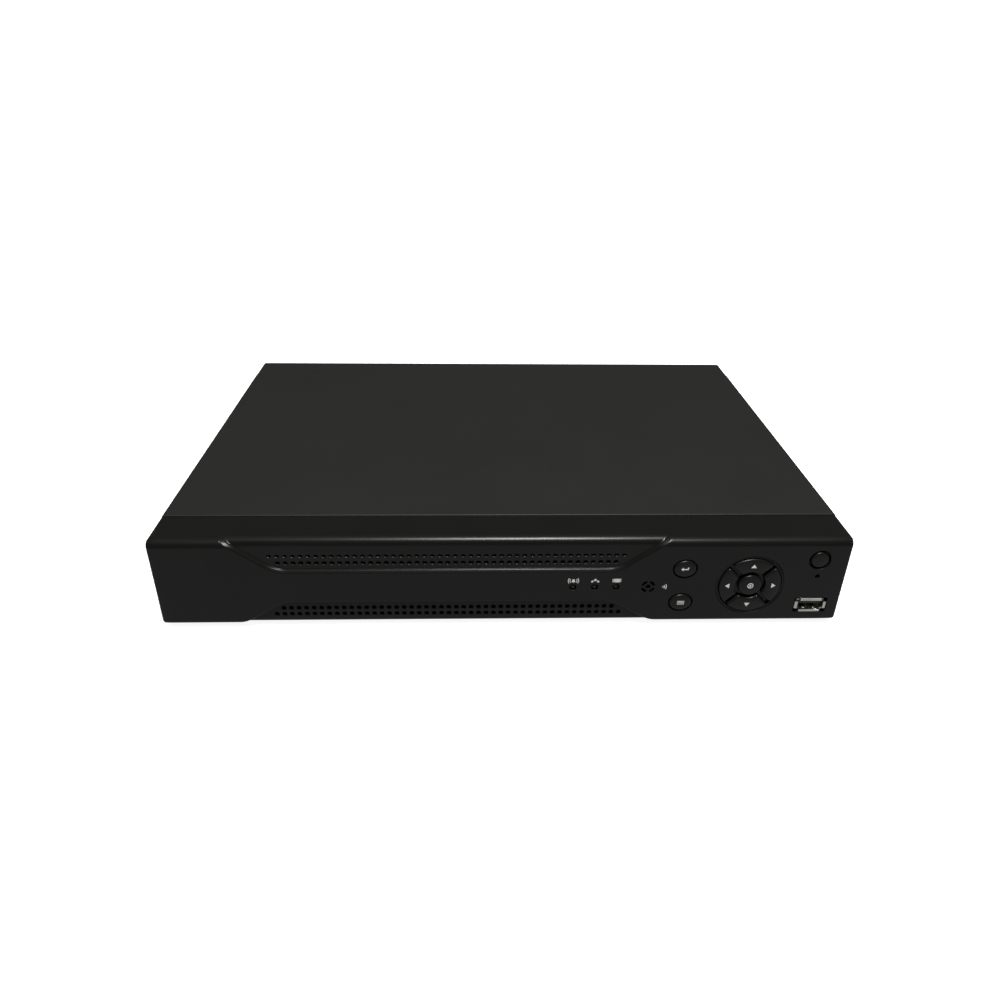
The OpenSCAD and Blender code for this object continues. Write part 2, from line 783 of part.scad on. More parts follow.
module power_inlet_pin() {
    color("silver") translate([inlet_x, y_inside - 11, inlet_z]) rotate([-90, 0, 0]) {
        cylinder(r = 1, h = 11);
    }
}

module ground_screw() {
    color("silver") translate([ground_spot[0], y_panel, ground_spot[1]]) rotate([-90, 0, 0]) {
        difference() {
            cylinder(r = 4.2, h = 0.8);
            translate([0, 0, -1]) cylinder(r = 2, h = 4);
        }
        translate([0, 0, 0.8]) screw(head_r = 3.6, head_h = 2.4, shank_r = 1.8, length = 6);
    }
}

// ---- Front board and what it carries ----

module front_board() {
    color("#1d5a33") difference() {
        translate([0, 0, z_base]) along_y(y_face + front_board_y, board_t)
            polygon([[20, 12.5], [78, 12.5], [78, 3.4], [158, 3.4], [158, 37.5],
                [152.5, 37.5], [152.5, 42.5], [78, 42.5], [78, 26.5], [20, 26.5]]);
        for (spot = board_boss_spots) on_face(spot, front_board_y - 1) cylinder(r = 1.6, h = 5);
        on_face([97.5, 5.5], front_board_y - 1) cylinder(r = 3.4, h = 5);
    }
}

module switch_housings() {
    color("#191919") for (spot = switch_spots) on_face(spot, front_board_y - switch_h) difference() {
        translate([-3, -3, 0]) cube([6, 6, switch_h]);
        translate([0, 0, -1]) cylinder(r = key_post_r + 0.15, h = 2.6);
    }
}

module lamp(length) {
    cylinder(r = lamp_r, h = length);
    translate([0, 0, length - 2]) cylinder(r = 1.9, h = 1);
}

module status_leds() {
    tip = 0.5;
    color("#3a3a30") {
        for (spot = lamp_spots) on_face(spot, tip) {
            intersection() {
                lamp(front_board_y - tip);
                // Domed front
                union() {
                    translate([0, 0, lamp_r]) sphere(lamp_r, $fn = 32);
                    translate([0, 0, lamp_r]) cylinder(r = 4, h = 20);
                }
            }
        }
        on_face(power_lamp_spot, bezel_wall + 0.4) lamp(front_board_y - bezel_wall - 0.4);
    }
}

module infrared_receiver() {
    front = grille_wall + 0.6;
    color("#241a1a") on_face(infrared_spot, front) {
        translate([-3, -3.5, 2]) cube([6, 7, front_board_y - front - 2]);
        intersection() {
            translate([0, 0, 2.6]) sphere(2.6, $fn = 32);
            translate([-4, -4, 0]) cube([8, 8, 2.5]);
        }
    }
}

// Side view of a flared lip round the socket's mouth
module flare(width) {
    flare_l = 0.9;
    along_x(-width / 2, width)
        polygon([[0, 0], [1.4, 0], [1.4, 0.35], [0.35, flare_l + 0.25], [0, flare_l]]);
}

module front_usb_shell() {
    wall = 0.35;
    lip_y = -0.2;
    color("gainsboro") {
        difference() {
            on_face(usb_spot, lip_y) linear_extrude(front_board_y - lip_y)
                square([usb_w, usb_h], center = true);
            on_face(usb_spot, lip_y - 1) linear_extrude(front_board_y - lip_y)
                square([usb_w - 2 * wall, usb_h - 2 * wall], center = true);
        }
        translate([usb_spot[0], y_face + lip_y, z_base + usb_spot[1]]) {
            for (a = [0, 180]) rotate([0, a, 0]) translate([0, 0, usb_h / 2]) flare(10.2);
            for (a = [90, 270]) rotate([0, a, 0]) translate([0, 0, usb_w / 2]) flare(3.8);
        }
    }
}

module front_usb_tongue() {
    color("#111111") on_face(usb_spot, 1.2)
        translate([-5.6, -2.1, 0]) cube([11.2, 1.9, front_board_y - 2.2]);
}

module front_ribbon_cable() {
    ribbon_w = 12.7;
    ribbon_x = 36;
    plug_w = 15.2;
    y_front_plug = y_face + front_board_y + board_t;
    z_front_plug = z_base + 19.5;
    route = [[y_front_plug + 5, z_front_plug], [y_wall + 6, z_front_plug], [-76, z_front_plug - 1.5],
        [-68, board_top + 4], [-60, board_top + 4]];
    color("#8a8d90") {
        translate([ribbon_x - plug_w / 2, y_front_plug, z_front_plug - 3]) cube([plug_w, 5, 6]);
        along_x(ribbon_x - ribbon_w / 2, ribbon_w) strip(route, 0.9);
        translate([ribbon_x - plug_w / 2, -60, board_top]) cube([plug_w, 8, 7]);
    }
}

// ---- Hard drive ----

module drive_base() {
    rim_z = drive_z + drive_h - drive_lid_t;
    floor_h = 8;
    color("silver") difference() {
        union() {
            difference() {
                translate([drive_x, drive_y, drive_z]) cube([drive_w, drive_d, rim_z - drive_z]);
                translate([drive_x + 7.8, drive_y + 39.8, drive_z - 1])
                    cube([drive_w - 15.6, drive_d, drive_board_t + 1]);
                translate([drive_hub[0], drive_hub[1], drive_z + floor_h])
                    cylinder(r = platter_r + 1.5, h = 40, $fn = 96);
                translate([drive_x + 7, drive_y + 84, drive_z + floor_h]) cube([drive_w - 14, 55, 40]);
            }
            translate([drive_hub[0], drive_hub[1], drive_z + floor_h - 1]) cylinder(r = 2.5, h = 12);
            translate([drive_pivot[0], drive_pivot[1], drive_z + floor_h - 1]) cylinder(r = 3, h = 13);
        }
        for (spot = drive_screw_spots) translate([spot[0], spot[1], drive_z - 1]) cylinder(r = 1.5, h = 8);
    }
}

module drive_lid() {
    color("gainsboro") translate([drive_x, drive_y, drive_z + drive_h - drive_lid_t]) difference() {
        translate([0.5, 0.5, 0]) cube([drive_w - 1, drive_d - 1, drive_lid_t]);
        // Pressed ring over the platters
        translate([50.3, 53.5, drive_lid_t - 0.4]) difference() {
            cylinder(r = 44, h = 1);
            translate([0, 0, -1]) cylinder(r = 41, h = 3);
        }
    }
}

module drive_board() {
    color("#1b4f7a") translate([drive_x + 8, drive_y + 40, drive_z])
        cube([drive_w - 16, 106, drive_board_t]);
}

module drive_screws() {
    head_h = 1.6;
    color("silver") for (spot = drive_screw_spots)
        translate([spot[0], spot[1], drive_z - sheet]) mirror([0, 0, 1]) screw(head_h = head_h, length = 5);
}

module drive_platters() {
    hub_r = 15;
    color("gainsboro") translate([drive_hub[0], drive_hub[1], 0]) difference() {
        union() {
            translate([0, 0, platter_z]) cylinder(r = platter_r, h = 1.3, $fn = 96);
            translate([0, 0, drive_z + 8.4]) cylinder(r = hub_r, h = 9);
        }
        translate([0, 0, drive_z]) cylinder(r = 2.56, h = 40);
    }
}

module drive_head_arm() {
    arm_l = 50;
    arm_angle = -21;
    color("silver") translate([drive_pivot[0], drive_pivot[1], 0]) difference() {
        rotate(arm_angle) union() {
            translate([0, 0, drive_z + 8.4]) cylinder(r = 8, h = 10);
            // One blade above and one below the platter, and the coil on the other side
            for (z = [-2, 2.3]) translate([0, 0, platter_z + z]) linear_extrude(1)
                polygon([[0, 7], [arm_l, 1.5], [arm_l, -1.5], [0, -7]]);
            translate([0, 0, platter_z - 1.5]) linear_extrude(3.5)
                polygon([[0, 6], [-21, 10], [-21, -10], [0, -6]]);
        }
        translate([0, 0, drive_z]) cylinder(r = 3.06, h = 40);
    }
}

module drive_data_cable() {
    y0 = drive_y + drive_d;
    plug_z = drive_z + 2;
    color("#7a1f1f") {
        translate([drive_x + 9, y0 + 0.1, plug_z]) cube([14, 7, 8]);
        translate([0, 0, board_top + 1.2]) linear_extrude(3.6)
            strip([[drive_x + 10, y0 + 4], [drive_x + 2, y0 + 4], [drive_x - 4, y0 + 1],
                [drive_x - 12, y0 - 7]], 1.4);
        translate([drive_x - 25, y0 - 11, board_top]) cube([13, 8, 8]);
    }
}

module drive_power_cable() {
    y0 = drive_y + drive_d;
    color("#c8b040") {
        translate([drive_x + 25, y0 + 0.1, drive_z + 2]) cube([21, 7, 6]);
        for (i = [0:3])
            translate([drive_x + 28 + i * 5, y0 + 6, drive_z + 6]) rotate([-64, 0, 0])
                cylinder(r = 0.9, h = 14.3);
        translate([drive_x + 25.5, y0 + 18, board_top]) cube([20, 6, 9]);
    }
}

// ---- Fan ----

module at_fan(y) {
    translate([fan_spot[0], y, fan_spot[1]]) rotate([-90, 0, 0]) children();
}

fan_y = y_inside - fan_t;

module fan_frame() {
    strut_h = 2;
    color("#1c1c1c") at_fan(fan_y) difference() {
        union() {
            difference() {
                linear_extrude(fan_t) rounded_rect(fan_size, fan_size, 3);
                translate([0, 0, -1]) cylinder(r = 19, h = fan_t + 2, $fn = 96);
            }
            cylinder(r = 9.5, h = strut_h);
            for (a = [30:90:300]) rotate(a) translate([9, -1, 0]) cube([11, 2, strut_h]);
            cylinder(r = 2.6, h = 7);
        }
        translate([0, 0, -1]) cylinder(r = 1.06, h = 20);
        for (x = [-1, 1], z = [-1, 1])
            translate([x * fan_screw_half, z * fan_screw_half, -1]) cylinder(r = 1.55, h = fan_t + 2);
    }
}

module fan_rotor() {
    hub_r = 10.5;
    tip_r = 18.4;
    blades = 7;
    pitch_angle = 42;
    color("#101010") at_fan(fan_y) {
        difference() {
            translate([0, 0, 2.5]) cylinder(r = hub_r, h = 6.5);
            translate([0, 0, 1]) cylinder(r = hub_r - 1.2, h = 6.8);
        }
        cylinder(r = 1, h = 8.5);
        intersection() {
            difference() {
                translate([0, 0, 2.6]) cylinder(r = tip_r, h = 6.2, $fn = 96);
                cylinder(r = hub_r - 0.6, h = 20);
            }
            for (i = [0:blades - 1]) rotate(i * 360 / blades)
                translate([14, 0, 5.7]) rotate([pitch_angle, 0, 0]) cube([12, 0.9, 12], center = true);
        }
    }
}

module fan_cable() {
    x0 = fan_spot[0] - fan_size / 2;
    plug_y = 82;
    wire = 1.4;
    floor_run = x0 + 14;
    route = [[97, board_top + 3], [101, board_top + 3], [x0 - 2, floor_z + 1.5], [floor_run, floor_z + 1.5]];
    color("#303030") {
        translate([92, plug_y, board_top]) cube([5, 8, 6]);
        for (y = [plug_y + 1.8, plug_y + 4.8]) {
            along_y(y, wire) strip(route, wire);
            translate([floor_run - wire, y, floor_z + 1.5 - wire / 2]) cube([wire, fan_y - y, wire]);
        }
    }
}

// ---- Keys: a cap, a flange that holds it in, and a post that works the switch ----

module key_post(front) {
    translate([0, 0, front]) cylinder(r = key_post_r, h = front_board_y - switch_h + 0.7 - front);
}

flange_y = bezel_wall + 0.15;

module round_key(spot, r, proud) {
    on_face(spot, 0) {
        translate([0, 0, -proud]) cylinder(r = r, h = flange_y + proud + 0.5);
        translate([0, 0, flange_y]) cylinder(r = r + key_flange, h = 1);
        key_post(flange_y);
    }
}

module oval_key(spot) {
    w = oval_w - 2 * key_gap;
    h = oval_h - 2 * key_gap;
    on_face(spot, 0) {
        translate([0, 0, -key_proud]) linear_extrude(flange_y + key_proud + 0.5) oval(w, h);
        translate([0, 0, flange_y]) linear_extrude(1) oval(w + 2 * key_flange, h + 2 * key_flange);
        key_post(flange_y);
    }
}

module pad_key(angle) {
    web = pad_web + 2 * key_gap;
    on_face(pad, 0) rotate(angle) {
        translate([0, 0, 0.1 - key_proud]) linear_extrude(flange_y + key_proud)
            pad_quarter(pad_ring_r + key_gap, pad_hole_r - key_gap, web);
        translate([0, 0, flange_y]) linear_extrude(1)
            pad_quarter(pad_ring_r + key_gap, pad_hole_r + key_flange, web);
        translate([0, pad_key_r, 0]) key_post(flange_y);
    }
}

key_color = "#242424";

module esc_key() { color(key_color) oval_key(esc_spot); }
module function_key() { color(key_color) oval_key(function_spot); }
module power_key() { color(key_color) round_key(power_spot, power_hole_r - 1.5 * key_gap, key_proud / 3); }
module enter_key() { color(key_color) round_key(pad, enter_hole_r - key_gap, key_proud); }
// on_face turns the outline's y downwards, so the key above the middle is at 180
module up_key() { color(key_color) pad_key(180); }
module down_key() { color(key_color) pad_key(0); }
module left_key() { color(key_color) pad_key(90); }
module right_key() { color(key_color) pad_key(270); }

base_tray();
top_cover();
front_bezel();
case_screws();
bezel_screws();
rubber_feet();
foot_screws();
main_board();
board_screws();
board_chips();
chip_heatsink();
board_capacitors();
coin_cell();
coin_cell_holder();
buzzer();
video_jack_block();
video_jack_barrels();
video_jack_insulators();
audio_jack_block();
audio_jack_barrels();
audio_jack_insulators();
monitor_port_shell();
monitor_port_insert();
monitor_port_jackscrews();
digital_port_shell();
digital_port_tongue();
network_port();
rear_usb_shell();
rear_usb_tongues();
terminal_block();
terminal_screws();
power_inlet();
power_inlet_pin();
ground_screw();
front_board();
switch_housings();
status_leds();
infrared_receiver();
front_usb_shell();
front_usb_tongue();
front_ribbon_cable();
drive_base();
drive_lid();
drive_board();
drive_screws();
drive_platters();
drive_head_arm();
drive_data_cable();
drive_power_cable();
fan_cable();
fan_frame();
fan_rotor();
esc_key();
function_key();
up_key();
down_key();
left_key();
right_key();
enter_key();
power_key();
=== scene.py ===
"""A desktop video recorder: black steel case, moulded black front with grilles, lamps and sprung keys."""

import json
import math

import bmesh
import bpy
import numpy as np
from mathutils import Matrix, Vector

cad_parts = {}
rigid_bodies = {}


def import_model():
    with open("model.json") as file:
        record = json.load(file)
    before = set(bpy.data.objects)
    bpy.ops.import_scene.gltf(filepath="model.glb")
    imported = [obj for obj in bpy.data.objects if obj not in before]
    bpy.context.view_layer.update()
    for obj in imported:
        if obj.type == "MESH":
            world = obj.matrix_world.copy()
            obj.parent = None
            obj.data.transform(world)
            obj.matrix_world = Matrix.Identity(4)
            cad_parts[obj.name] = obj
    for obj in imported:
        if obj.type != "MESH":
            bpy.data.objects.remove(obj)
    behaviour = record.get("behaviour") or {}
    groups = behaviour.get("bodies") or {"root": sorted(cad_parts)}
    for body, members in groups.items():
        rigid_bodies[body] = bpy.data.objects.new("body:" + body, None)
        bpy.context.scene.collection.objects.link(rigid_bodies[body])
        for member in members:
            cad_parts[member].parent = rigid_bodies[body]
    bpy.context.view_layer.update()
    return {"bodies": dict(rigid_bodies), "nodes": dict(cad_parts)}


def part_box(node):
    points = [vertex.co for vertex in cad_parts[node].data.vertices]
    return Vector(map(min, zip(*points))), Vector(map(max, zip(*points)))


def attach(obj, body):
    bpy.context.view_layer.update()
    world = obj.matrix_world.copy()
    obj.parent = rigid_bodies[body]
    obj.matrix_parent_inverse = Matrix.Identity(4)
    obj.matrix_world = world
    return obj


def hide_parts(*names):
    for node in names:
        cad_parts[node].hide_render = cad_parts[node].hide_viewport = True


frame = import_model()
MM = 0.001
CASE = "recorder"
FULL_TURN = 6.2832


# ---------------------------------------------------------------- materials


def linear(hex_colour):
    """An sRGB hex colour as the linear RGBA that a shader takes."""
    parts = [int(hex_colour[i : i + 2], 16) / 255 for i in (1, 3, 5)]
    return (*[c / 12.92 if c <= 0.04045 else ((c + 0.055) / 1.055) ** 2.4 for c in parts], 1.0)


def add(tree, kind, inputs=None, **settings):
    """Adds one node. Each input is a plain value or the output socket that feeds it."""
    made = tree.nodes.new(kind)
    for name, value in settings.items():
        setattr(made, name, value)
    for name, value in (inputs or {}).items():
        if isinstance(value, bpy.types.NodeSocket):
            tree.links.new(value, made.inputs[name])
        else:
            made.inputs[name].default_value = value
    return made


def new_material(name, roughness, metallic=0.0, ior=1.5, specular=0.5):
    """A material with one shader, and the object's own coordinates in metres."""
    made = bpy.data.materials.new(name)
    made.use_nodes = True
    tree = made.node_tree
    shader = tree.nodes["Principled BSDF"]
    shader.inputs["Roughness"].default_value = roughness
    shader.inputs["Metallic"].default_value = metallic
    shader.inputs["Specular IOR Level"].default_value = specular
    if not metallic:
        shader.inputs["IOR"].default_value = ior
    place = add(tree, "ShaderNodeTexCoord").outputs["Object"]
    return made, tree, shader, place


def mottle(tree, shader, place, dark, light, size):
    """Slow drift of the base colour between two close shades; size is in metres."""
    cloud = add(tree, "ShaderNodeTexNoise", {"Vector": place, "Scale": 1 / size, "Detail": 3.0})
    ramp = add(tree, "ShaderNodeValToRGB", {"Fac": cloud.outputs["Fac"]})
    ramp.color_ramp.elements[0].position = 0.35
    ramp.color_ramp.elements[0].color = linear(dark)
    ramp.color_ramp.elements[1].position = 0.65
    ramp.color_ramp.elements[1].color = linear(light)
    tree.links.new(ramp.outputs["Color"], shader.inputs["Base Color"])
    return ramp.outputs["Color"]


def grain(tree, shader, place, size, depth, stretch=(1, 1, 1)):
    """A fine even relief; size is one grain across and depth its height, both in metres."""
    laid = add(tree, "ShaderNodeMapping", {"Vector": place, "Scale": stretch})
    pits = add(tree, "ShaderNodeTexNoise",
               {"Vector": laid.outputs["Vector"], "Scale": 1 / size, "Detail": 2.0})
    relief = add(tree, "ShaderNodeBump", {"Height": pits.outputs["Fac"], "Distance": depth, "Strength": 1.0})
    tree.links.new(relief.outputs["Normal"], shader.inputs["Normal"])
    return pits.outputs["Fac"]


def vary_roughness(tree, shader, source, low, high):
    """Roughness that follows a pattern between two values."""
    spread = add(tree, "ShaderNodeMapRange", {"Value": source, "To Min": low, "To Max": high})
    tree.links.new(spread.outputs["Result"], shader.inputs["Roughness"])


def moulded(name, dark, light, roughness, grit=0.35, depth=0.010, specular=0.5):
    """Injection-moulded ABS: spark-eroded tool marks leave a fine satin grit. Sizes in millimetres."""
    made, tree, shader, place = new_material(name, roughness, ior=1.53, specular=specular)
    mottle(tree, shader, place, dark, light, 0.03)
    pits = grain(tree, shader, place, grit * MM, depth * MM)
    vary_roughness(tree, shader, pits, roughness - 0.05, roughness + 0.07)
    return made


def powder_coated(name, dark, light, roughness, specular):
    """Baked polyester powder on steel: a fine sand texture over a faint orange peel."""
    made, tree, shader, place = new_material(name, roughness, ior=1.5, specular=specular)
    mottle(tree, shader, place, dark, light, 0.06)
    # The sand of a real coat is about 0.2 mm, drawn a little coarser so that it shows
    sand = add(tree, "ShaderNodeTexVoronoi", {"Vector": place, "Scale": 1 / (0.45 * MM)})
    peel = add(tree, "ShaderNodeTexNoise", {"Vector": place, "Scale": 1 / (3.0 * MM), "Detail": 2.0})
    both = add(tree, "ShaderNodeMath", {0: sand.outputs["Distance"], 1: peel.outputs["Fac"]}, operation="ADD")
    relief = add(tree, "ShaderNodeBump",
                 {"Height": both.outputs["Value"], "Distance": 0.02 * MM, "Strength": 1.0})
    tree.links.new(relief.outputs["Normal"], shader.inputs["Normal"])
    vary_roughness(tree, shader, peel.outputs["Fac"], roughness - 0.06, roughness + 0.06)
    return made


def metal(name, dark, light, roughness, stretch=(1, 1, 1), grit=0.3, depth=0.004):
    """A bare or plated metal with fine marks, drawn out along one way where stretch says so."""
    made, tree, shader, place = new_material(name, roughness, metallic=1.0)
    mottle(tree, shader, place, dark, light, 0.008)
    marks = grain(tree, shader, place, grit * MM, depth * MM, stretch)
    vary_roughness(tree, shader, marks, roughness - 0.06, roughness + 0.1)
    return made


def zinc_plated(name):
    """Zinc-plated sheet: bluish grey with the faint cloudy flowers of the zinc."""
    made, tree, shader, place = new_material(name, 0.38, metallic=1.0)
    flowers = add(tree, "ShaderNodeTexVoronoi", {"Vector": place, "Scale": 1 / (6 * MM), "Randomness": 1.0})
    shade = add(tree, "ShaderNodeValToRGB", {"Fac": flowers.outputs["Distance"]})
    shade.color_ramp.elements[0].color = linear("#b4b8ba")
    shade.color_ramp.elements[1].color = linear("#9da2a5")
    tree.links.new(shade.outputs["Color"], shader.inputs["Base Color"])
    vary_roughness(tree, shader, flowers.outputs["Distance"], 0.32, 0.5)
    return made


def circuit_board(name, mask, copper):
    """Epoxy board under solder mask: buried tracks show as slightly lighter, raised lines 0.3 mm wide."""
    made, tree, shader, place = new_material(name, 0.35, ior=1.55)
    squares = add(tree, "ShaderNodeTexVoronoi", {"Vector": place, "Scale": 1 / (9 * MM)},
                  distance="CHEBYCHEV")
    waves = add(tree, "ShaderNodeMath", {0: squares.outputs["Distance"], 1: 11.0}, operation="MULTIPLY")
    saw = add(tree, "ShaderNodeMath", {0: waves.outputs[0], 1: 1.0}, operation="PINGPONG")
    lines = add(tree, "ShaderNodeValToRGB", {"Fac": saw.outputs[0]})
    lines.color_ramp.elements[0].position = 0.45
    lines.color_ramp.elements[0].color = linear(mask)
    lines.color_ramp.elements[1].position = 0.55
    lines.color_ramp.elements[1].color = linear(copper)
    tree.links.new(lines.outputs["Color"], shader.inputs["Base Color"])
    relief = add(tree, "ShaderNodeBump", {"Height": saw.outputs[0], "Distance": 0.03 * MM, "Strength": 0.6})
    tree.links.new(relief.outputs["Normal"], shader.inputs["Normal"])
    return made


def ribbed(name, dark, light, pitch):
    """Flat cable: moulded round its wires, so that it has a ridge for each, one pitch (mm) apart across x."""
    made, tree, shader, place = new_material(name, 0.45, ior=1.5)
    mottle(tree, shader, place, dark, light, 0.02)
    ridge = add(tree, "ShaderNodeTexWave", {"Vector": place, "Scale": 1 / (pitch * MM * FULL_TURN)},
                bands_direction="X", wave_profile="SIN")
    relief = add(tree, "ShaderNodeBump", {"Height": ridge.outputs["Fac"], "Distance": 0.2 * MM})
    tree.links.new(relief.outputs["Normal"], shader.inputs["Normal"])
    return made


def lens(name, tint, roughness, alpha):
    """Clear epoxy or acrylic, tinted right through."""
    made, tree, shader, place = new_material(name, roughness, ior=1.49)
    mottle(tree, shader, place, tint, tint, 0.005)
    shader.inputs["Alpha"].default_value = alpha
    return made


COVER = powder_coated("powder_coat_black", "#20201e", "#22221f", 0.50, 0.30)
BEZEL = moulded("abs_black_satin", "#121211", "#141413", 0.28, depth=0.008, specular=0.22)
KEY = moulded("abs_black_key", "#131312", "#151514", 0.33, grit=0.3, depth=0.006, specular=0.24)
BLACK = moulded("nylon_black", "#141414", "#1a1a1a", 0.5)
BOARD_BLACK = moulded("epoxy_black", "#101011", "#171718", 0.42, grit=0.2)
WHITE = moulded("pbt_white", "#dcdad2", "#e6e4dc", 0.45)
RED = moulded("pbt_red", "#9c1d1a", "#a82420", 0.4)
BLUE = moulded("pbt_blue", "#1c3f8f", "#234a9c", 0.42)
GREEN = moulded("pbt_green", "#1f7a3d", "#27864a", 0.42)
CABLE_RED = moulded("pvc_red", "#7d1715", "#8a1f1c", 0.45)
CABLE_YELLOW = moulded("pvc_yellow", "#c9a01e", "#d4ad2a", 0.45)
SLEEVE = moulded("shrink_sleeve_blue", "#1d3352", "#24405f", 0.3, grit=0.6)
RUBBER = moulded("nitrile_rubber", "#0f0f10", "#151516", 0.72, grit=0.5, depth=0.02)
INK = moulded("pad_print_white", "#f2f2ef", "#f6f6f3", 0.6, grit=0.15, depth=0.003)
NICKEL = metal("nickel_plate", "#b7b3a8", "#c6c2b7", 0.22)
SHELL = metal("tin_plate_shell", "#c3c3bd", "#d0d0ca", 0.26)
GOLD = metal("gold_flash", "#c79a3c", "#d5aa4c", 0.22)
BRIGHT_SCREW = metal("bright_zinc_screw", "#a9acac", "#b9bcbc", 0.3)
BLACK_SCREW = metal("black_oxide_screw", "#1a1a1b", "#242425", 0.4)
CAST = metal("cast_aluminium", "#9a9c9e", "#a8aaac", 0.48, grit=0.5, depth=0.02)
LID = metal("brushed_aluminium", "#b2b4b6", "#c0c2c4", 0.34, stretch=(1, 30, 1))
MIRROR = metal("polished_platter", "#c9cbcc", "#d2d4d5", 0.07, grit=0.2, depth=0.0005)
ZINC = zinc_plated("zinc_plated_sheet")
BOARD = circuit_board("solder_mask_green", "#0f4a2a", "#1c6a3f")
DRIVE_BOARD = circuit_board("solder_mask_blue", "#0f3050", "#1c4a70")
RIBBON = ribbed("pvc_ribbon_grey", "#84878a", "#8f9295", 1.27)
LAMP = lens("smoked_epoxy_lamp", "#3b3f3a", 0.15, 0.85)
DARK_LENS = lens("infrared_pass_acrylic", "#1c0d10", 0.2, 0.95)


# ---------------------------------------------------------------- making meshes


def new_object(name, mesh, *materials):
    """An object at the origin with this mesh."""
    made = bpy.data.objects.new(name, mesh)
    bpy.context.scene.collection.objects.link(made)
    for material in materials:
        mesh.materials.append(material)
    return made


def mesh_piece(name, vertices, faces, *materials):
    """An object from lists, with doubles merged and flat or empty faces removed."""
    shape = bmesh.new()
    made = [shape.verts.new(v) for v in vertices]
    for face in faces:
        corners = list(dict.fromkeys(face))
        if len(corners) > 2:
            shape.faces.new([made[i] for i in corners])
    bmesh.ops.remove_doubles(shape, verts=shape.verts, dist=2e-7)
    bmesh.ops.dissolve_degenerate(shape, edges=shape.edges, dist=1e-7)
    mesh = bpy.data.meshes.new(name)
    shape.to_mesh(mesh)
    shape.free()
    return new_object(name, mesh, *materials)


def plain(piece):
    """Applies a piece's modifiers, leaving a plain mesh."""
    graph = bpy.context.evaluated_depsgraph_get()
    mesh = bpy.data.meshes.new_from_object(piece.evaluated_get(graph))
    piece.modifiers.clear()
    piece.data = mesh
    mesh.name = piece.name
    return piece


def joined(name, pieces, *materials):
    """One object that holds the meshes of several, which are removed."""
    shape = bmesh.new()
    slots = []
    for piece in pieces:
        first = len(shape.faces)
        shape.from_mesh(piece.data)
        shape.faces.ensure_lookup_table()
        for face in shape.faces[first:]:
            own = piece.data.materials[face.material_index] if piece.data.materials else None
            if own not in slots:
                slots.append(own)
            face.material_index = slots.index(own)
    for piece in pieces:
        bpy.data.objects.remove(piece)
    mesh = bpy.data.meshes.new(name)
    shape.to_mesh(mesh)
    shape.free()
    return new_object(name, mesh, *(materials or [m for m in slots if m]))


def carve(piece, cutter, operation="DIFFERENCE"):
    """Cuts one closed mesh out of another, and removes the cutter."""
    cut = piece.modifiers.new("cut", "BOOLEAN")
    cut.operation = operation
    cut.solver = "MANIFOLD"
    cut.object = cutter
    plain(piece)
    bpy.data.objects.remove(cutter)
    return piece


def smooth(piece, angle=32):
    """Smooth shading that keeps the edges sharper than the angle."""
    piece.data.shade_smooth()
    piece.data.set_sharp_from_angle(angle=math.radians(angle))
    return piece


def weighted(piece, angle=32):
    """Smooth shading in which the large faces keep their own direction."""
    smooth(piece, angle)
    piece.modifiers.new("weighted", "WEIGHTED_NORMAL").keep_sharp = True
    return plain(piece)


def bevelled(piece, width, segments=2, angle=30):
    """Breaks the sharp edges of a piece."""
    edge = piece.modifiers.new("bevel", "BEVEL")
    edge.width = width
    edge.segments = segments
    edge.limit_method = "ANGLE"
    edge.angle_limit = math.radians(angle)
    edge.use_clamp_overlap = False
    return plain(piece)


def settle(piece, slot, *nodes, body=None):
    """Puts a finished piece on its body and hides the CAD nodes it stands for; the slot is not used."""
    named = nodes[0] if nodes and nodes[0] in frame["bodies"] else CASE
    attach(piece, body or named)
    if nodes:
        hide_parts(*nodes)
    return piece


def softened(node, material, slot, width, segments=2, settled=True):
    """A copy of a CAD node with whole flat faces and its edges broken by a width in millimetres."""
    shape = bmesh.new()
    shape.from_mesh(frame["nodes"][node].data)
    bmesh.ops.remove_doubles(shape, verts=shape.verts, dist=1e-6)
    bmesh.ops.dissolve_limit(shape, angle_limit=math.radians(1), verts=shape.verts, edges=shape.edges)
    mesh = bpy.data.meshes.new(node + "_finished")
    shape.to_mesh(mesh)
    shape.free()
    piece = new_object(node + "_finished", mesh, material)
    if width:
        bevelled(piece, width * MM, segments)
    weighted(piece, 40)
    return settle(piece, slot, node) if settled else piece


def ring(outline, depth):
    """An outline in x and z, as points at one depth along y."""
    return [(x, depth, z) for x, z in outline]


def stack(name, rings, *materials):
    """A closed piece through equal rings of points, filled at both ends."""
    size = len(rings[0])
    faces = [tuple(range(size))[::-1]]
    for k in range(len(rings) - 1):
        low, high = k * size, (k + 1) * size
        for i in range(size):
            j = (i + 1) % size
            faces.append((low + i, low + j, high + j, high + i))
    faces.append(tuple(range((len(rings) - 1) * size, len(rings) * size)))
    return outward(mesh_piece(name, [p for r in rings for p in r], faces, *materials))


def outward(piece):
    """Turns the faces of a closed mesh outwards."""
    shape = bmesh.new()
    shape.from_mesh(piece.data)
    bmesh.ops.recalc_face_normals(shape, faces=shape.faces)
    shape.to_mesh(piece.data)
    shape.free()
    return piece


def prism(name, outline, y0, y1, *materials):
    """An outline in x and z drawn out along y."""
    return stack(name, [ring(outline, y0), ring(outline, y1)], *materials)


def block(name, low, high, *materials):
    """A box between two corners."""
    outline = [(low[0], low[2]), (high[0], low[2]), (high[0], high[2]), (low[0], high[2])]
    return prism(name, outline, low[1], high[1], *materials)


def circle(centre, radius, sides=48):
    """Points of a circle, as pairs."""
    turns = [2 * math.pi * i / sides for i in range(sides)]
    return [(centre[0] + radius * math.cos(t), centre[1] + radius * math.sin(t)) for t in turns]


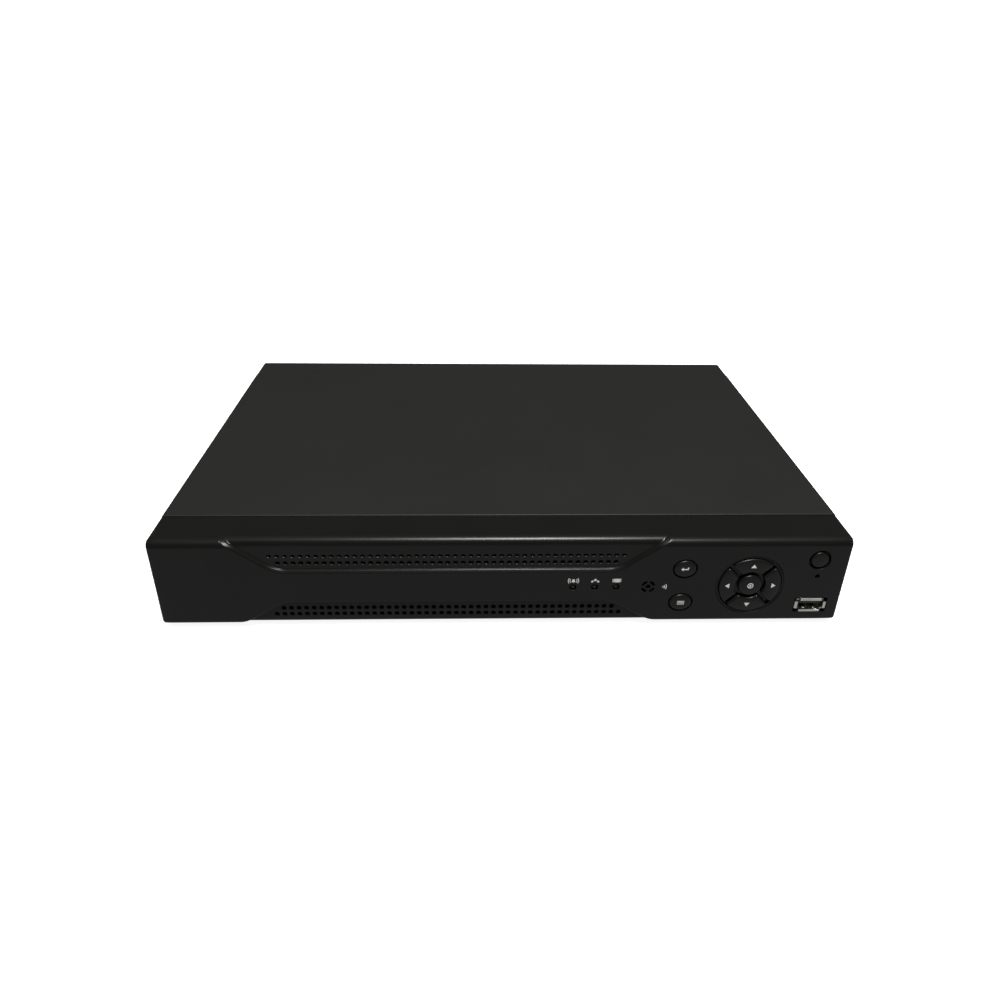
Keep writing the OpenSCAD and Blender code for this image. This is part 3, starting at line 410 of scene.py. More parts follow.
def oval(centre, width, height, sides=64):
    """Points of an oval in x and z."""
    turns = [2 * math.pi * i / sides for i in range(sides)]
    return [(centre[0] + width / 2 * math.cos(t), centre[1] + height / 2 * math.sin(t)) for t in turns]


def round_corners(outline, radius, steps=5):
    """Rounds each corner of an outline that turns more than 30 degrees."""
    made = []
    count = len(outline)
    for i in range(count):
        before, here, after = (Vector(outline[(i + k) % count]) for k in (-1, 0, 1))
        one, two = (before - here).normalized(), (after - here).normalized()
        turn = math.pi - one.angle(two)
        if turn < math.radians(30):
            made.append(tuple(here))
            continue
        reach = radius * math.tan(turn / 2)
        start, end = here + one * reach, here + two * reach
        centre = here + (one + two).normalized() * (radius / math.cos(turn / 2))
        for k in range(steps + 1):
            point = start.lerp(end, k / steps) - centre
            made.append(tuple(centre + point.normalized() * radius))
    return made


def inset(outline, distance):
    """Moves an outline that runs anticlockwise inwards by a distance."""
    points = [Vector(p) for p in outline]
    count = len(points)
    made = []
    for i in range(count):
        one = (points[i] - points[i - 1]).normalized()
        two = (points[(i + 1) % count] - points[i]).normalized()
        side = Vector((-one.y - two.y, one.x + two.x)) / 2
        made.append(tuple(points[i] + side * (distance / max(side.length_squared, 0.25))))
    return made


def lathe_rings(profile, centre, axis, sides):
    """A ring of points for each (radius, height) of a profile, round an axis letter."""
    rings = []
    for radius, height in profile:
        points = []
        for i in range(sides):
            t = 2 * math.pi * i / sides
            a, b = radius * math.cos(t), radius * math.sin(t)
            local = {"x": (height, a, b), "y": (a, height, b), "z": (a, b, height)}[axis]
            points.append(tuple(Vector(centre) + Vector(local)))
        rings.append(points)
    return rings


def turned(name, profile, centre, axis, sides, *materials):
    """A solid lathe shape: its profile goes from one end to the other."""
    return stack(name, lathe_rings(profile, centre, axis, sides), *materials)


def tube(name, profile, centre, axis, sides, *materials):
    """A lathe shape with a hole through it: the profile closes on itself."""
    faces = []
    count = len(profile)
    for k in range(count):
        low, high = k * sides, ((k + 1) % count) * sides
        for i in range(sides):
            j = (i + 1) % sides
            faces.append((low + i, low + j, high + j, high + i))
    points = [p for r in lathe_rings(profile, centre, axis, sides) for p in r]
    return outward(mesh_piece(name, points, faces, *materials))


# ---------------------------------------------------------------- trees for what repeats


def stamp_tree(name, sizes, shape):
    """Rows of one shape: every point of the mesh gets a row along its own x, turned as the point says."""
    tree = bpy.data.node_groups.new(name, "GeometryNodeTree")
    sockets = tree.interface
    sockets.new_socket("Geometry", in_out="INPUT", socket_type="NodeSocketGeometry")
    rows = {"Count": ("Int", 1), "Pitch": ("Float", 0.001), "Material": ("Material", None)}
    for label, (kind, value) in {**rows, **sizes}.items():
        made = sockets.new_socket(label, in_out="INPUT", socket_type="NodeSocket" + kind)
        made.default_value = value
    sockets.new_socket("Geometry", in_out="OUTPUT", socket_type="NodeSocketGeometry")
    start = add(tree, "NodeGroupInput").outputs
    gaps = add(tree, "ShaderNodeMath", {0: start["Count"], 1: 1.0}, operation="SUBTRACT")
    length = add(tree, "ShaderNodeMath", {0: gaps.outputs[0], 1: start["Pitch"]}, operation="MULTIPLY")
    first = add(tree, "ShaderNodeMath", {0: length.outputs[0], 1: -0.5}, operation="MULTIPLY")
    start_at = add(tree, "ShaderNodeCombineXYZ", {"X": first.outputs[0]})
    step = add(tree, "ShaderNodeCombineXYZ", {"X": start["Pitch"]})
    line = add(tree, "GeometryNodeMeshLine", {"Count": start["Count"], "Start Location": start_at.outputs[0],
                                              "Offset": step.outputs[0]})
    row = add(tree, "GeometryNodeInstanceOnPoints",
              {"Points": line.outputs["Mesh"], "Instance": shape(tree, start)})
    turn = add(tree, "GeometryNodeInputNamedAttribute", {"Name": "turn"}, data_type="FLOAT_VECTOR")
    rotation = add(tree, "FunctionNodeEulerToRotation", {"Euler": turn.outputs["Attribute"]})
    copies = add(tree, "GeometryNodeInstanceOnPoints",
                 {"Points": start["Geometry"], "Instance": row.outputs["Instances"],
                  "Rotation": rotation.outputs["Rotation"]})
    solid = add(tree, "GeometryNodeRealizeInstances", {"Geometry": copies.outputs["Instances"]})
    painted = add(tree, "GeometryNodeSetMaterial", {"Geometry": solid.outputs["Geometry"],
                                                    "Material": start["Material"]})
    add(tree, "NodeGroupOutput", {"Geometry": painted.outputs["Geometry"]})
    return tree


def stamped(name, tree, places, material=None, **sizes):
    """Runs a stamp tree on (point, turn) pairs, and leaves a plain mesh."""
    mesh = bpy.data.meshes.new(name)
    mesh.from_pydata([point for point, _ in places], [], [])
    turns = mesh.attributes.new("turn", "FLOAT_VECTOR", "POINT")
    turns.data.foreach_set("vector", [value for _, turn in places for value in turn])
    piece = new_object(name, mesh)
    rule = piece.modifiers.new(name, "NODES")
    rule.node_group = tree
    sizes["Material"] = material
    for item in tree.interface.items_tree:
        key = item.name.replace(" ", "_")
        if item.in_out == "INPUT" and key in sizes:
            rule[item.identifier] = sizes[key]
    return plain(piece)


def flared_plug(tree, size):
    """A round plug with a wider mouth: it cuts a hole with a broken edge. Its mouth is at z = 0."""
    mouth = add(tree, "ShaderNodeMath", {0: size["Radius"], 1: size["Flare"]}, operation="ADD")
    cone = add(tree, "GeometryNodeMeshCone",
               {"Vertices": size["Sides"], "Radius Top": size["Radius"], "Radius Bottom": mouth.outputs[0],
                "Depth": size["Flare"]}, fill_type="NGON")
    inner = add(tree, "GeometryNodeExtrudeMesh",
                {"Mesh": cone.outputs["Mesh"], "Selection": cone.outputs["Top"],
                 "Offset Scale": size["Depth"], "Individual": False}, mode="FACES")
    outer = add(tree, "GeometryNodeExtrudeMesh",
                {"Mesh": inner.outputs["Mesh"], "Selection": cone.outputs["Bottom"],
                 "Offset Scale": size["Proud"], "Individual": False}, mode="FACES")
    scale = add(tree, "ShaderNodeCombineXYZ", {"X": 1.0, "Y": size["Squash"], "Z": 1.0})
    return add(tree, "GeometryNodeTransform",
               {"Geometry": outer.outputs["Mesh"], "Scale": scale.outputs[0]}).outputs["Geometry"]


def thickened(tree, sheet, depth):
    """A flat sheet drawn out along its normal and closed at its back."""
    raised = add(tree, "GeometryNodeExtrudeMesh",
                 {"Mesh": sheet, "Offset Scale": depth, "Individual": False}, mode="FACES")
    back = add(tree, "GeometryNodeFlipFaces", {"Mesh": sheet})
    both = add(tree, "GeometryNodeJoinGeometry")
    for part in (raised, back):
        tree.links.new(part.outputs["Mesh"], both.inputs["Geometry"])
    return add(tree, "GeometryNodeMergeByDistance",
               {"Geometry": both.outputs["Geometry"], "Distance": 1e-6}).outputs["Geometry"]


def rounded_plate(tree, size):
    """A plate with rounded corners, from z = 0 up."""
    outline = add(tree, "GeometryNodeCurvePrimitiveQuadrilateral",
                  {"Width": size["Width"], "Height": size["Length"]}, mode="RECTANGLE")
    soft = add(tree, "GeometryNodeFilletCurve",
               {"Curve": outline.outputs["Curve"], "Count": 3, "Radius": size["Corner"],
                "Limit Radius": True}, mode="POLY")
    sheet = add(tree, "GeometryNodeFillCurve", {"Curve": soft.outputs["Curve"]}, mode="NGONS")
    return thickened(tree, sheet.outputs["Mesh"], size["Depth"])


def pan_head(tree, size):
    """A screw whose crowned head stands on z = 0, with a cross cut into it and its shank below."""
    low = add(tree, "ShaderNodeMath", {0: size["Height"], 1: 0.4}, operation="MULTIPLY")
    half = add(tree, "ShaderNodeMath", {0: low.outputs[0], 1: 0.5}, operation="MULTIPLY")
    start = add(tree, "GeometryNodeMeshCylinder",
                {"Vertices": 24, "Radius": size["Head"], "Depth": low.outputs[0]}, fill_type="NGON")
    lift = add(tree, "ShaderNodeCombineXYZ", {"Z": half.outputs[0]})
    mesh = add(tree, "GeometryNodeTransform",
               {"Geometry": start.outputs["Mesh"], "Translation": lift.outputs[0]}).outputs["Geometry"]
    top = start.outputs["Top"]
    for share, taper in ((0.28, 0.94), (0.2, 0.84), (0.12, 0.62)):
        rise = add(tree, "ShaderNodeMath", {0: size["Height"], 1: share}, operation="MULTIPLY")
        step = add(tree, "GeometryNodeExtrudeMesh",
                   {"Mesh": mesh, "Selection": top, "Offset Scale": rise.outputs[0], "Individual": False},
                   mode="FACES")
        mesh = add(tree, "GeometryNodeScaleElements",
                   {"Geometry": step.outputs["Mesh"], "Selection": step.outputs["Top"],
                    "Scale": taper}).outputs["Geometry"]
        top = step.outputs["Top"]
    slot_l = add(tree, "ShaderNodeMath", {0: size["Head"], 1: 1.15}, operation="MULTIPLY")
    slot_w = add(tree, "ShaderNodeMath", {0: size["Head"], 1: 0.24}, operation="MULTIPLY")
    at_top = add(tree, "ShaderNodeCombineXYZ", {"Z": size["Height"]})
    cut = add(tree, "GeometryNodeMeshBoolean", {"Mesh 1": mesh}, operation="DIFFERENCE", solver="EXACT")
    for x, y in ((slot_l, slot_w), (slot_w, slot_l)):
        size_of = add(tree, "ShaderNodeCombineXYZ",
                      {"X": x.outputs[0], "Y": y.outputs[0], "Z": size["Height"]})
        arm = add(tree, "GeometryNodeMeshCube", {"Size": size_of.outputs[0]})
        put = add(tree, "GeometryNodeTransform",
                  {"Geometry": arm.outputs["Mesh"], "Translation": at_top.outputs[0]})
        tree.links.new(put.outputs["Geometry"], cut.inputs["Mesh 2"])
    shank = add(tree, "GeometryNodeMeshCylinder",
                {"Vertices": 16, "Radius": size["Shank"], "Depth": size["Reach"]}, fill_type="NGON")
    down = add(tree, "ShaderNodeMath", {0: size["Reach"], 1: -0.495}, operation="MULTIPLY")
    sink = add(tree, "ShaderNodeCombineXYZ", {"Z": down.outputs[0]})
    body = add(tree, "GeometryNodeTransform",
               {"Geometry": shank.outputs["Mesh"], "Translation": sink.outputs[0]})
    whole = add(tree, "GeometryNodeJoinGeometry")
    tree.links.new(cut.outputs["Mesh"], whole.inputs["Geometry"])
    tree.links.new(body.outputs["Geometry"], whole.inputs["Geometry"])
    return whole.outputs["Geometry"]


PLUG = stamp_tree("flared_plug_rows", {"Radius": ("Float", 0.001), "Flare": ("Float", 0.0002),
                                       "Depth": ("Float", 0.006), "Proud": ("Float", 0.003),
                                       "Squash": ("Float", 1.0), "Sides": ("Int", 16)}, flared_plug)
PLATE = stamp_tree("rounded_plate_rows", {"Width": ("Float", 0.003), "Length": ("Float", 0.01),
                                          "Corner": ("Float", 0.001), "Depth": ("Float", 0.004)},
                   rounded_plate)
SCREW = stamp_tree("pan_head_screws", {"Head": ("Float", 0.0028), "Height": ("Float", 0.0017),
                                       "Shank": ("Float", 0.00145), "Reach": ("Float", 0.006)}, pan_head)
QUARTER = math.pi / 2
INTO_FRONT = (-QUARTER, 0, 0)
OUT_OF_BACK = (-QUARTER, 0, 0)


# ---------------------------------------------------------------- sizes from the frame

bezel_low, bezel_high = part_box("front_bezel")
cover_low, cover_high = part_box("top_cover")
FACE_Y = bezel_low.y
SEAM_Y = cover_low.y
BASE_Z = bezel_low.z
HALF_W = bezel_high.x
BEZEL_H = bezel_high.z - bezel_low.z
BEZEL_D = SEAM_Y - FACE_Y


def on_front(x, height, depth=0.0):
    """A point of the front, from millimetres across, up from the bezel's bottom and behind its face."""
    return (x * MM, FACE_Y + depth * MM, BASE_Z + height * MM)


def shifted(outline, centre):
    """An outline in millimetres about a spot of the front, in the frame's own x and z."""
    return [((centre[0] + x) * MM, BASE_Z + (centre[1] + z) * MM) for x, z in outline]


def key_middle(node):
    """The middle of a key in millimetres: across, and up from the bezel's bottom."""
    low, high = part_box(node)
    return ((low.x + high.x) / 2 / MM, ((low.z + high.z) / 2 - BASE_Z) / MM)


# ---------------------------------------------------------------- front bezel

TOP_ROUND = 4.0
BOTTOM_ROUND = 2.0
END_ROUND = 2.0
CORNERS = (("top", BEZEL_H / MM, 1, 2.2), ("bottom", 0.0, -1, 2.6))
WALL = 2.4
GRILLE_WALL = 4
THICK_FROM, THICK_TO = -137, 76
GRILLE_X = -26.2
HOLE_PITCH = 3.56
UPPER_DEPTH = 1.8
LOWER_DEPTH = 1.5
# The recesses' edges, in millimetres up from the bezel's bottom and across from the grilles' middle
UPPER_LIP = {"height": 29.7, "half": 74.0, "radius": 18.0, "angle": math.radians(36)}
LOWER_LIP = {"height": 12.6, "half": 73.0, "end": 102.0}


def upper_lip(across):
    """Height of the upper recess's lower edge: flat, then an arc, then a straight climb."""
    past = abs(across - GRILLE_X) - UPPER_LIP["half"]
    radius, angle = UPPER_LIP["radius"], UPPER_LIP["angle"]
    if past <= 0:
        return UPPER_LIP["height"]
    reach = radius * math.sin(angle)
    if past < reach:
        return UPPER_LIP["height"] + radius - math.sqrt(radius**2 - past**2)
    return UPPER_LIP["height"] + radius * (1 - math.cos(angle)) + (past - reach) * math.tan(angle)


def lower_lip(across):
    """Height of the lower recess's upper edge: flat, then an S-curve down to the bottom."""
    share = (abs(across - GRILLE_X) - LOWER_LIP["half"]) / (LOWER_LIP["end"] - LOWER_LIP["half"])
    share = min(max(share, 0.0), 1.0)
    return LOWER_LIP["height"] * (1 - share * share * (3 - 2 * share))


FACE_H = BEZEL_H / MM
# Along the profile: where the bottom rounding ends, where the top rounding starts, and where it ends
RUN_1 = BOTTOM_ROUND * math.pi / 2
RUN_2 = RUN_1 + FACE_H - TOP_ROUND - BOTTOM_ROUND
RUN_3 = RUN_2 + TOP_ROUND * math.pi / 2


def run_at(height):
    """Distance along the bezel's profile, from its bottom edge, at a height of its face."""
    if height < BOTTOM_ROUND:
        return BOTTOM_ROUND * math.acos(1 - max(height, 0.0) / BOTTOM_ROUND)
    if height <= FACE_H - TOP_ROUND:
        return RUN_1 + height - BOTTOM_ROUND
    return RUN_2 + TOP_ROUND * math.asin(min((height - FACE_H + TOP_ROUND) / TOP_ROUND, 1.0))


def profile(run):
    """Depth, height and outward direction of the plain bezel at a distance along its profile."""
    if run < 0:
        return BOTTOM_ROUND - run, 0.0, 0.0, -1.0
    if run < RUN_1:
        turn = run / BOTTOM_ROUND
        return (BOTTOM_ROUND * (1 - math.sin(turn)), BOTTOM_ROUND * (1 - math.cos(turn)),
                -math.sin(turn), -math.cos(turn))
    if run <= RUN_2:
        return 0.0, BOTTOM_ROUND + run - RUN_1, -1.0, 0.0
    if run < RUN_3:
        turn = (run - RUN_2) / TOP_ROUND
        return (TOP_ROUND * (1 - math.cos(turn)), FACE_H - TOP_ROUND * (1 - math.sin(turn)),
                -math.cos(turn), math.sin(turn))
    return TOP_ROUND + run - RUN_3, FACE_H, 0.0, 1.0


def ledge(depth, edge_r, root_r):
    """Steps across a recess's ledge, as (distance, depth) pairs from the face to the floor."""
    quarter = [math.radians(a) for a in (0, 22.5, 45, 67.5, 90)]
    edge = [(-edge_r * (1 - math.sin(a)), edge_r * (1 - math.cos(a))) for a in quarter]
    root = [(root_r * (1 - math.cos(a)), depth - root_r * (1 - math.sin(a))) for a in quarter]
    return [(-edge_r - 0.5, 0.0), *edge, *root, (root_r + 0.5, depth)]


# The upper recess's lower edge is a broad slope that catches the light from above
UPPER_LEDGE = [(-1.3, 0.0), (-0.85, 0.0), (-0.65, 0.05), (-0.5, 0.16), (-0.1, 0.48), (0.3, 0.81),
               (0.45, 0.96), (0.53, 1.15), (0.57, 1.45), (0.7, 1.7), (0.95, UPPER_DEPTH), (1.4, UPPER_DEPTH)]
LOWER_LEDGE = ledge(LOWER_DEPTH, 0.5, 0.4)
# Each recess runs out over the bezel's rounding, as (distance along the profile, share of its depth)
LOWER_FADE = ((-9.0, 0.0), (-6.0, 0.3), (-4.0, 0.8))
UPPER_FADE = ((0.0, 1.0), (0.8, 0.95), (2.5, 0.6), (5.0, 0.0))


def spread(start, end, count):
    """Even steps from start up to, but not including, end."""
    return [start + (end - start) * i / count for i in range(count)]


def slope_of(curve, across):
    """Cosine of a curve's slope."""
    rise = run_at(curve(across + 0.05)) - run_at(curve(across - 0.05))
    return math.cos(math.atan2(rise, 0.1))


def section(across, end_inset):
    """One upright section of the bezel, as (depth, height) points from its bottom back to its top back."""
    lower, upper = run_at(lower_lip(across)), run_at(upper_lip(across))
    low_slope, up_slope = slope_of(lower_lip, across), slope_of(upper_lip, across)
    lower_steps = [(lower - t / low_slope, d) for t, d in reversed(LOWER_LEDGE)]
    upper_steps = [(upper + t / up_slope, d) for t, d in UPPER_LEDGE]
    low_start, low_end = lower_steps[0][0], lower_steps[-1][0]
    up_start, up_end = upper_steps[0][0], upper_steps[-1][0]
    depth_mm = BEZEL_D / MM
    steps = [(BOTTOM_ROUND - depth_mm, 0.0)]
    steps += [(run, LOWER_DEPTH * share) for run, share in LOWER_FADE]
    steps += [(run, LOWER_DEPTH) for run in spread(-3.0, min(low_start, 0.0), 2)]
    steps += [(run, LOWER_DEPTH) for run in spread(min(low_start, 0.0), min(low_start, RUN_1), 5)]
    steps += [(run, LOWER_DEPTH) for run in spread(min(low_start, RUN_1), low_start, 8)]
    steps += lower_steps
    steps += [(run, 0.0) for run in spread(low_end, max(low_end, RUN_1), 5)]
    steps += [(run, 0.0) for run in spread(max(low_end, RUN_1), min(up_start, RUN_2), 14)]
    steps += [(run, 0.0) for run in spread(min(up_start, RUN_2), up_start, 10)]
    steps += upper_steps
    steps += [(run, UPPER_DEPTH) for run in spread(up_end, max(up_end, RUN_2), 10)]
    steps += [(run, UPPER_DEPTH) for run in spread(max(up_end, RUN_2), max(up_end, RUN_3), 10)]
    top = max(up_end, RUN_3)
    steps += [(top + more, UPPER_DEPTH * share) for more, share in UPPER_FADE]
    steps += [(RUN_3 + depth_mm - TOP_ROUND, 0.0)]
    points = []
    for run, back in steps:
        depth, height, out_y, out_z = profile(run)
        depth = min(depth + back - end_inset * out_y, depth_mm)
        points.append((depth, height - end_inset * out_z))
    return points


def stations():
    """Places across the bezel for its sections: close together where an edge bends."""
    made = set()
    reach = UPPER_LIP["radius"] * math.sin(UPPER_LIP["angle"])
    climb = UPPER_LIP["half"] + reach
    bends = [(UPPER_LIP["half"] - 1, climb + 1, 16), (climb + 1, 96, 6), (96, 107, 24),
             (LOWER_LIP["half"] - 1, LOWER_LIP["end"] + 1, 34), (0, UPPER_LIP["half"] - 1, 16)]
    for start, end, count in bends:
        for offset in np.linspace(start, end, count + 1):
            for side in (-1, 1):
                made.add(round(GRILLE_X + side * float(offset), 3))
    limit = HALF_W / MM - END_ROUND
    for side_start, side_end in ((-limit, GRILLE_X - 107), (GRILLE_X + 107, limit)):
        made |= {round(float(v), 3) for v in np.linspace(side_start, side_end, 14)}
    return sorted(v for v in made if abs(v) <= limit)


def bezel_shell():
    """The bezel's outer skin, swept across and closed at its back and ends."""
    half = HALF_W / MM
    turns = [math.radians(a) for a in (90, 72, 54, 36, 18)]
    left = [(-half + END_ROUND * (1 - math.sin(a)), END_ROUND * (1 - math.cos(a))) for a in turns]
    places = left + [(x, 0.0) for x in stations()] + [(-x, e) for x, e in reversed(left)]
    rings = []
    for across, end_inset in places:
        rings.append([(across * MM, FACE_Y + depth * MM, BASE_Z + height * MM)
                      for depth, height in section(across, end_inset)])
    return stack("front_bezel_shell", rings, BEZEL)


def quarter_outline(inner, outer, web, angle):
    """A quarter of the direction pad between two radii, clear of the webs between the keys."""
    apex = web / math.sqrt(2)

    def meet(radius):
        x = (-apex + math.sqrt(2 * radius**2 - apex**2)) / 2
        return math.atan2(x + apex, x)

    made = []
    for radius, steps in ((outer, 14), (inner, 7)):
        start = meet(radius)
        arc = [start + (math.pi - 2 * start) * i / steps for i in range(steps + 1)]
        arc = arc if radius == outer else arc[::-1]
        made += [(radius * math.cos(t + angle), radius * math.sin(t + angle)) for t in arc]
    return made


def sector_outline(inner, outer, middle, half_angle):
    """A short arc-shaped slot."""
    turns = [middle + half_angle * (i / 4 - 1) for i in range(9)]
    return ([(outer * math.cos(t), outer * math.sin(t)) for t in turns]
            + [(inner * math.cos(t), inner * math.sin(t)) for t in reversed(turns)])


# How deep a cutter goes through the front wall, from just before the face
THROUGH = (FACE_Y - 1 * MM, FACE_Y + 6 * MM)
# Rows of perforations: height, recess, how many, radius, and height over width
GRILLE_ROWS = {"upper_row_1": (37.4, UPPER_DEPTH, 47, 1.05, 0.62),
               "upper_row_2": (33.6, UPPER_DEPTH, 45, 1.05, 0.85),
               "lower_row_1": (8.15, LOWER_DEPTH, 45, 1.12, 1.0),
               "lower_row_2": (4.6, LOWER_DEPTH, 47, 1.12, 1.0)}
# Quarters of the direction pad: inner radius, outer radius and the web between two of them
PAD_HOLE = (7.4, 15.3, 1.6)
PAD_CAP = (7.3, 14.8, 1.7)
PAD_STEM = (8.0, 14.7, 2.8)
PAD_FLANGE = (7.8, 16.4, 2.4)
PAD = key_middle("enter_key")
PAD_TURNS = {"up_key": 0.0, "left_key": math.pi / 2, "down_key": math.pi, "right_key": -math.pi / 2}
ESC = key_middle("esc_key")
FUNCTION = key_middle("function_key")
POWER = key_middle("power_key")
LAMPS = [(32.6, 20.3), (42.9, 20.3), (53.1, 20.3)]
POWER_LAMP = (148.5, 25.9)
INFRARED = (68.3, 20.5)
USB = key_middle("front_usb_shell")


def front_holes():
    """Every hole through the bezel's front, as one cutter."""
    def plug(name, spot, depth, **sizes):
        return stamped(name, PLUG, [(on_front(*spot, depth), INTO_FRONT)], **sizes)

    cutters = [plug(name, (GRILLE_X, height), depth, Count=count, Pitch=HOLE_PITCH * MM, Radius=radius * MM,
                    Flare=0.18 * MM, Depth=6 * MM, Proud=1 * MM, Squash=squash)
               for name, (height, depth, count, radius, squash) in GRILLE_ROWS.items()]
    single = [(f"lamp_hole_{i}", spot, 1.6, 0.25, 32) for i, spot in enumerate(LAMPS)]
    single += [("power_lamp_hole", POWER_LAMP, 1.1, 0.2, 24), ("infrared_dot", INFRARED, 1.1, 0.15, 24),
               ("power_hole", POWER, 5.1, 0.3, 64)]
    for name, spot, radius, flare, sides in single:
        cutters.append(plug(name, spot, 0, Radius=radius * MM, Flare=flare * MM, Depth=6 * MM,
                            Proud=1 * MM, Sides=sides))
    for i in range(4):
        slot = sector_outline(2.1, 3.4, math.pi / 4 + i * math.pi / 2, math.radians(31))
        cutters.append(prism(f"infrared_slot_{i}", shifted(slot, INFRARED), *THROUGH))
    for name, spot in (("esc_hole", ESC), ("function_hole", FUNCTION)):
        steps = ((0.35, -1.0), (0.35, 0.0), (0.1, 0.12), (0.0, 0.35), (0.0, 6.0))
        rings = [ring(shifted(oval((0, 0), 11.8 + 2 * more, 10.2 + 2 * more), spot), FACE_Y + depth * MM)
                 for more, depth in steps]
        cutters.append(stack(name, rings))
    low, high = (-8.0, -4.2), (8.0, 4.2)
    mouth = round_corners([low, (high[0], low[1]), high, (low[0], high[1])], 0.7)
    cutters.append(prism("usb_mouth", shifted(mouth, USB), *THROUGH))
    return joined("front_holes", cutters)


def pad_dish():
    """The shallow dish round the direction pad."""
    return stamped("pad_dish", PLUG, [(on_front(*PAD, 0), INTO_FRONT)], Radius=16.0 * MM, Flare=0.45 * MM,
                   Depth=0.1 * MM, Proud=1 * MM, Sides=128)


def pad_webs():
    """The webs between the pad's keys lie deeper than the dish, so that the gaps look dark."""
    return stamped("pad_webs", PLUG, [(on_front(*PAD, 0), INTO_FRONT)], Radius=15.25 * MM, Flare=0.1 * MM,
                   Depth=1.6 * MM, Proud=1 * MM, Sides=128)


def pad_holes():
    """The four quarters and the middle hole of the direction pad."""
    cutters = [prism("middle_hole", shifted(circle((0, 0), 5.9, 64), PAD), *THROUGH)]
    for name, angle in PAD_TURNS.items():
        outline = quarter_outline(*PAD_HOLE, angle)
        cutters.append(prism(name + "_hole", shifted(round_corners(outline, 0.9), PAD), *THROUGH))
    return joined("pad_holes", cutters)


def bezel_inside():
    """The space behind the bezel's front wall."""
    x_in, z_low, z_high = HALF_W - WALL * MM, BASE_Z + WALL * MM, BASE_Z + BEZEL_H - WALL * MM
    back = SEAM_Y + 1 * MM
    deep = block("deep", (-x_in, FACE_Y + GRILLE_WALL * MM, z_low), (x_in, back, z_high))
    for name, start, end in (("thin_left", -x_in, THICK_FROM * MM), ("thin_right", THICK_TO * MM, x_in)):
        thin = block(name, (start, FACE_Y + WALL * MM, z_low), (end, back, z_high - 2.5 * MM))
        carve(deep, thin, "UNION")
    return deep


def end_corners():
    """What the rounded corners at the bezel's ends leave out, seen from the front."""
    cutters = []
    half, depths = HALF_W / MM, (FACE_Y - 1 * MM, SEAM_Y + 1 * MM)
    for side in (-1, 1):
        for name, edge, up, radius in CORNERS:
            x, z = side * (half - radius), edge - up * radius
            # A hair less than the radius, so that the cut never lies flush with the bezel's sides
            cut = radius - 0.01
            arc = [(x + side * cut * math.sin(a), z + up * cut * math.cos(a))
                   for a in np.radians(np.linspace(0, 90, 9))]
            outline = [*arc, (side * (half + 1), z), (side * (half + 1), edge + up), (x, edge + up)]
            if side * up > 0:
                outline = outline[::-1]
            cutters.append(prism(f"{name}_corner_{side}", shifted(outline, (0, 0)), *depths))
    return joined("end_corners", cutters)


def make_bezel():
    """The moulded front: swept shell, hollow back, holes with broken edges."""
    bezel = bezel_shell()
    for cutter in (end_corners(), bezel_inside(), pad_dish(), pad_webs(), pad_holes(), front_holes()):
        carve(bezel, cutter)
    bezel.data.materials.clear()
    bezel.data.materials.append(BEZEL)
    weighted(bezel, 28)
    return settle(bezel, "bezel_plastic", "front_bezel")


make_bezel()


# ---------------------------------------------------------------- keys and their signs

# Depth of the flange behind the face, and the pillowed edge of a cap as (inset, depth) pairs
FLANGE = 2.55
CAP_STEPS = ((0.0, 0.9), (0.06, 0.66), (0.22, 0.38), (0.5, 0.15), (1.05, 0.0))


def key_front(node):
    """Depth of a key's front behind the bezel's face, a hair under the CAD so that its sign fits in."""
    return (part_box(node)[0].y - FACE_Y) / MM + 0.05


def make_key(node, cap, flange, post, stem=None):
    """A cap with a pillowed edge, the flange that holds it in, and the post that works its switch.

    A stem narrower than the cap carries it where the webs beside it lie deep."""
    front = key_front(node)
    flange_y = FACE_Y + FLANGE * MM
    stem = stem or cap
    levels = [(stem, 3.05), (stem, 1.05), (cap, 0.95)]
    levels += [(inset(cap, back), front + depth) for back, depth in CAP_STEPS]
    rings = [ring(shifted(outline, post), FACE_Y + depth * MM) for outline, depth in levels]
    parts = [stack(node + "_cap", rings, KEY),
             prism(node + "_flange", shifted(flange, post), flange_y, FACE_Y + (FLANGE + 1) * MM, KEY)]
    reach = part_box(node)[1].y
    middle = POST_SPOTS.get(node, (0.0, 0.0))
    parts.append(prism(node + "_post", shifted(circle(middle, 1.7, 24), post), flange_y, reach, KEY))
    return settle(smooth(joined(node + "_moulded", parts), 38), "key_plastic", node)


def turned_by(outline, angle):
    """An outline turned about its own origin."""
    c, s = math.cos(angle), math.sin(angle)
    return [(c * x - s * z, s * x + c * z) for x, z in outline]


PAD_KEY_R = 10.6
POST_SPOTS = {name: turned_by([(0.0, PAD_KEY_R)], angle)[0] for name, angle in PAD_TURNS.items()}


def make_keys():
    """The eight keys."""
    for name, angle in PAD_TURNS.items():
        cap = round_corners(quarter_outline(*PAD_CAP, angle), 1.2)
        stem = round_corners(quarter_outline(*PAD_STEM, angle), 1.2)
        flange = quarter_outline(*PAD_FLANGE, angle)
        make_key(name, cap, flange, PAD, stem)
    make_key("enter_key", circle((0, 0), 5.6, 64), circle((0, 0), 6.6, 48), PAD)
    make_key("power_key", circle((0, 0), 4.2, 64), circle((0, 0), 5.6, 48), POWER)
    for name, spot in (("esc_key", ESC), ("function_key", FUNCTION)):
        make_key(name, oval((0, 0), 10.6, 9.0), oval((0, 0), 13.2, 11.6), spot)


def bar(x0, z0, x1, z1):
    """A rectangle outline."""
    return [(x0, z0), (x1, z0), (x1, z1), (x0, z1)]


def half_rings(inner, outer):
    """A ring drawn as two halves."""
    return [sector_outline(inner, outer, side * QUARTER, QUARTER) for side in (-1, 1)]


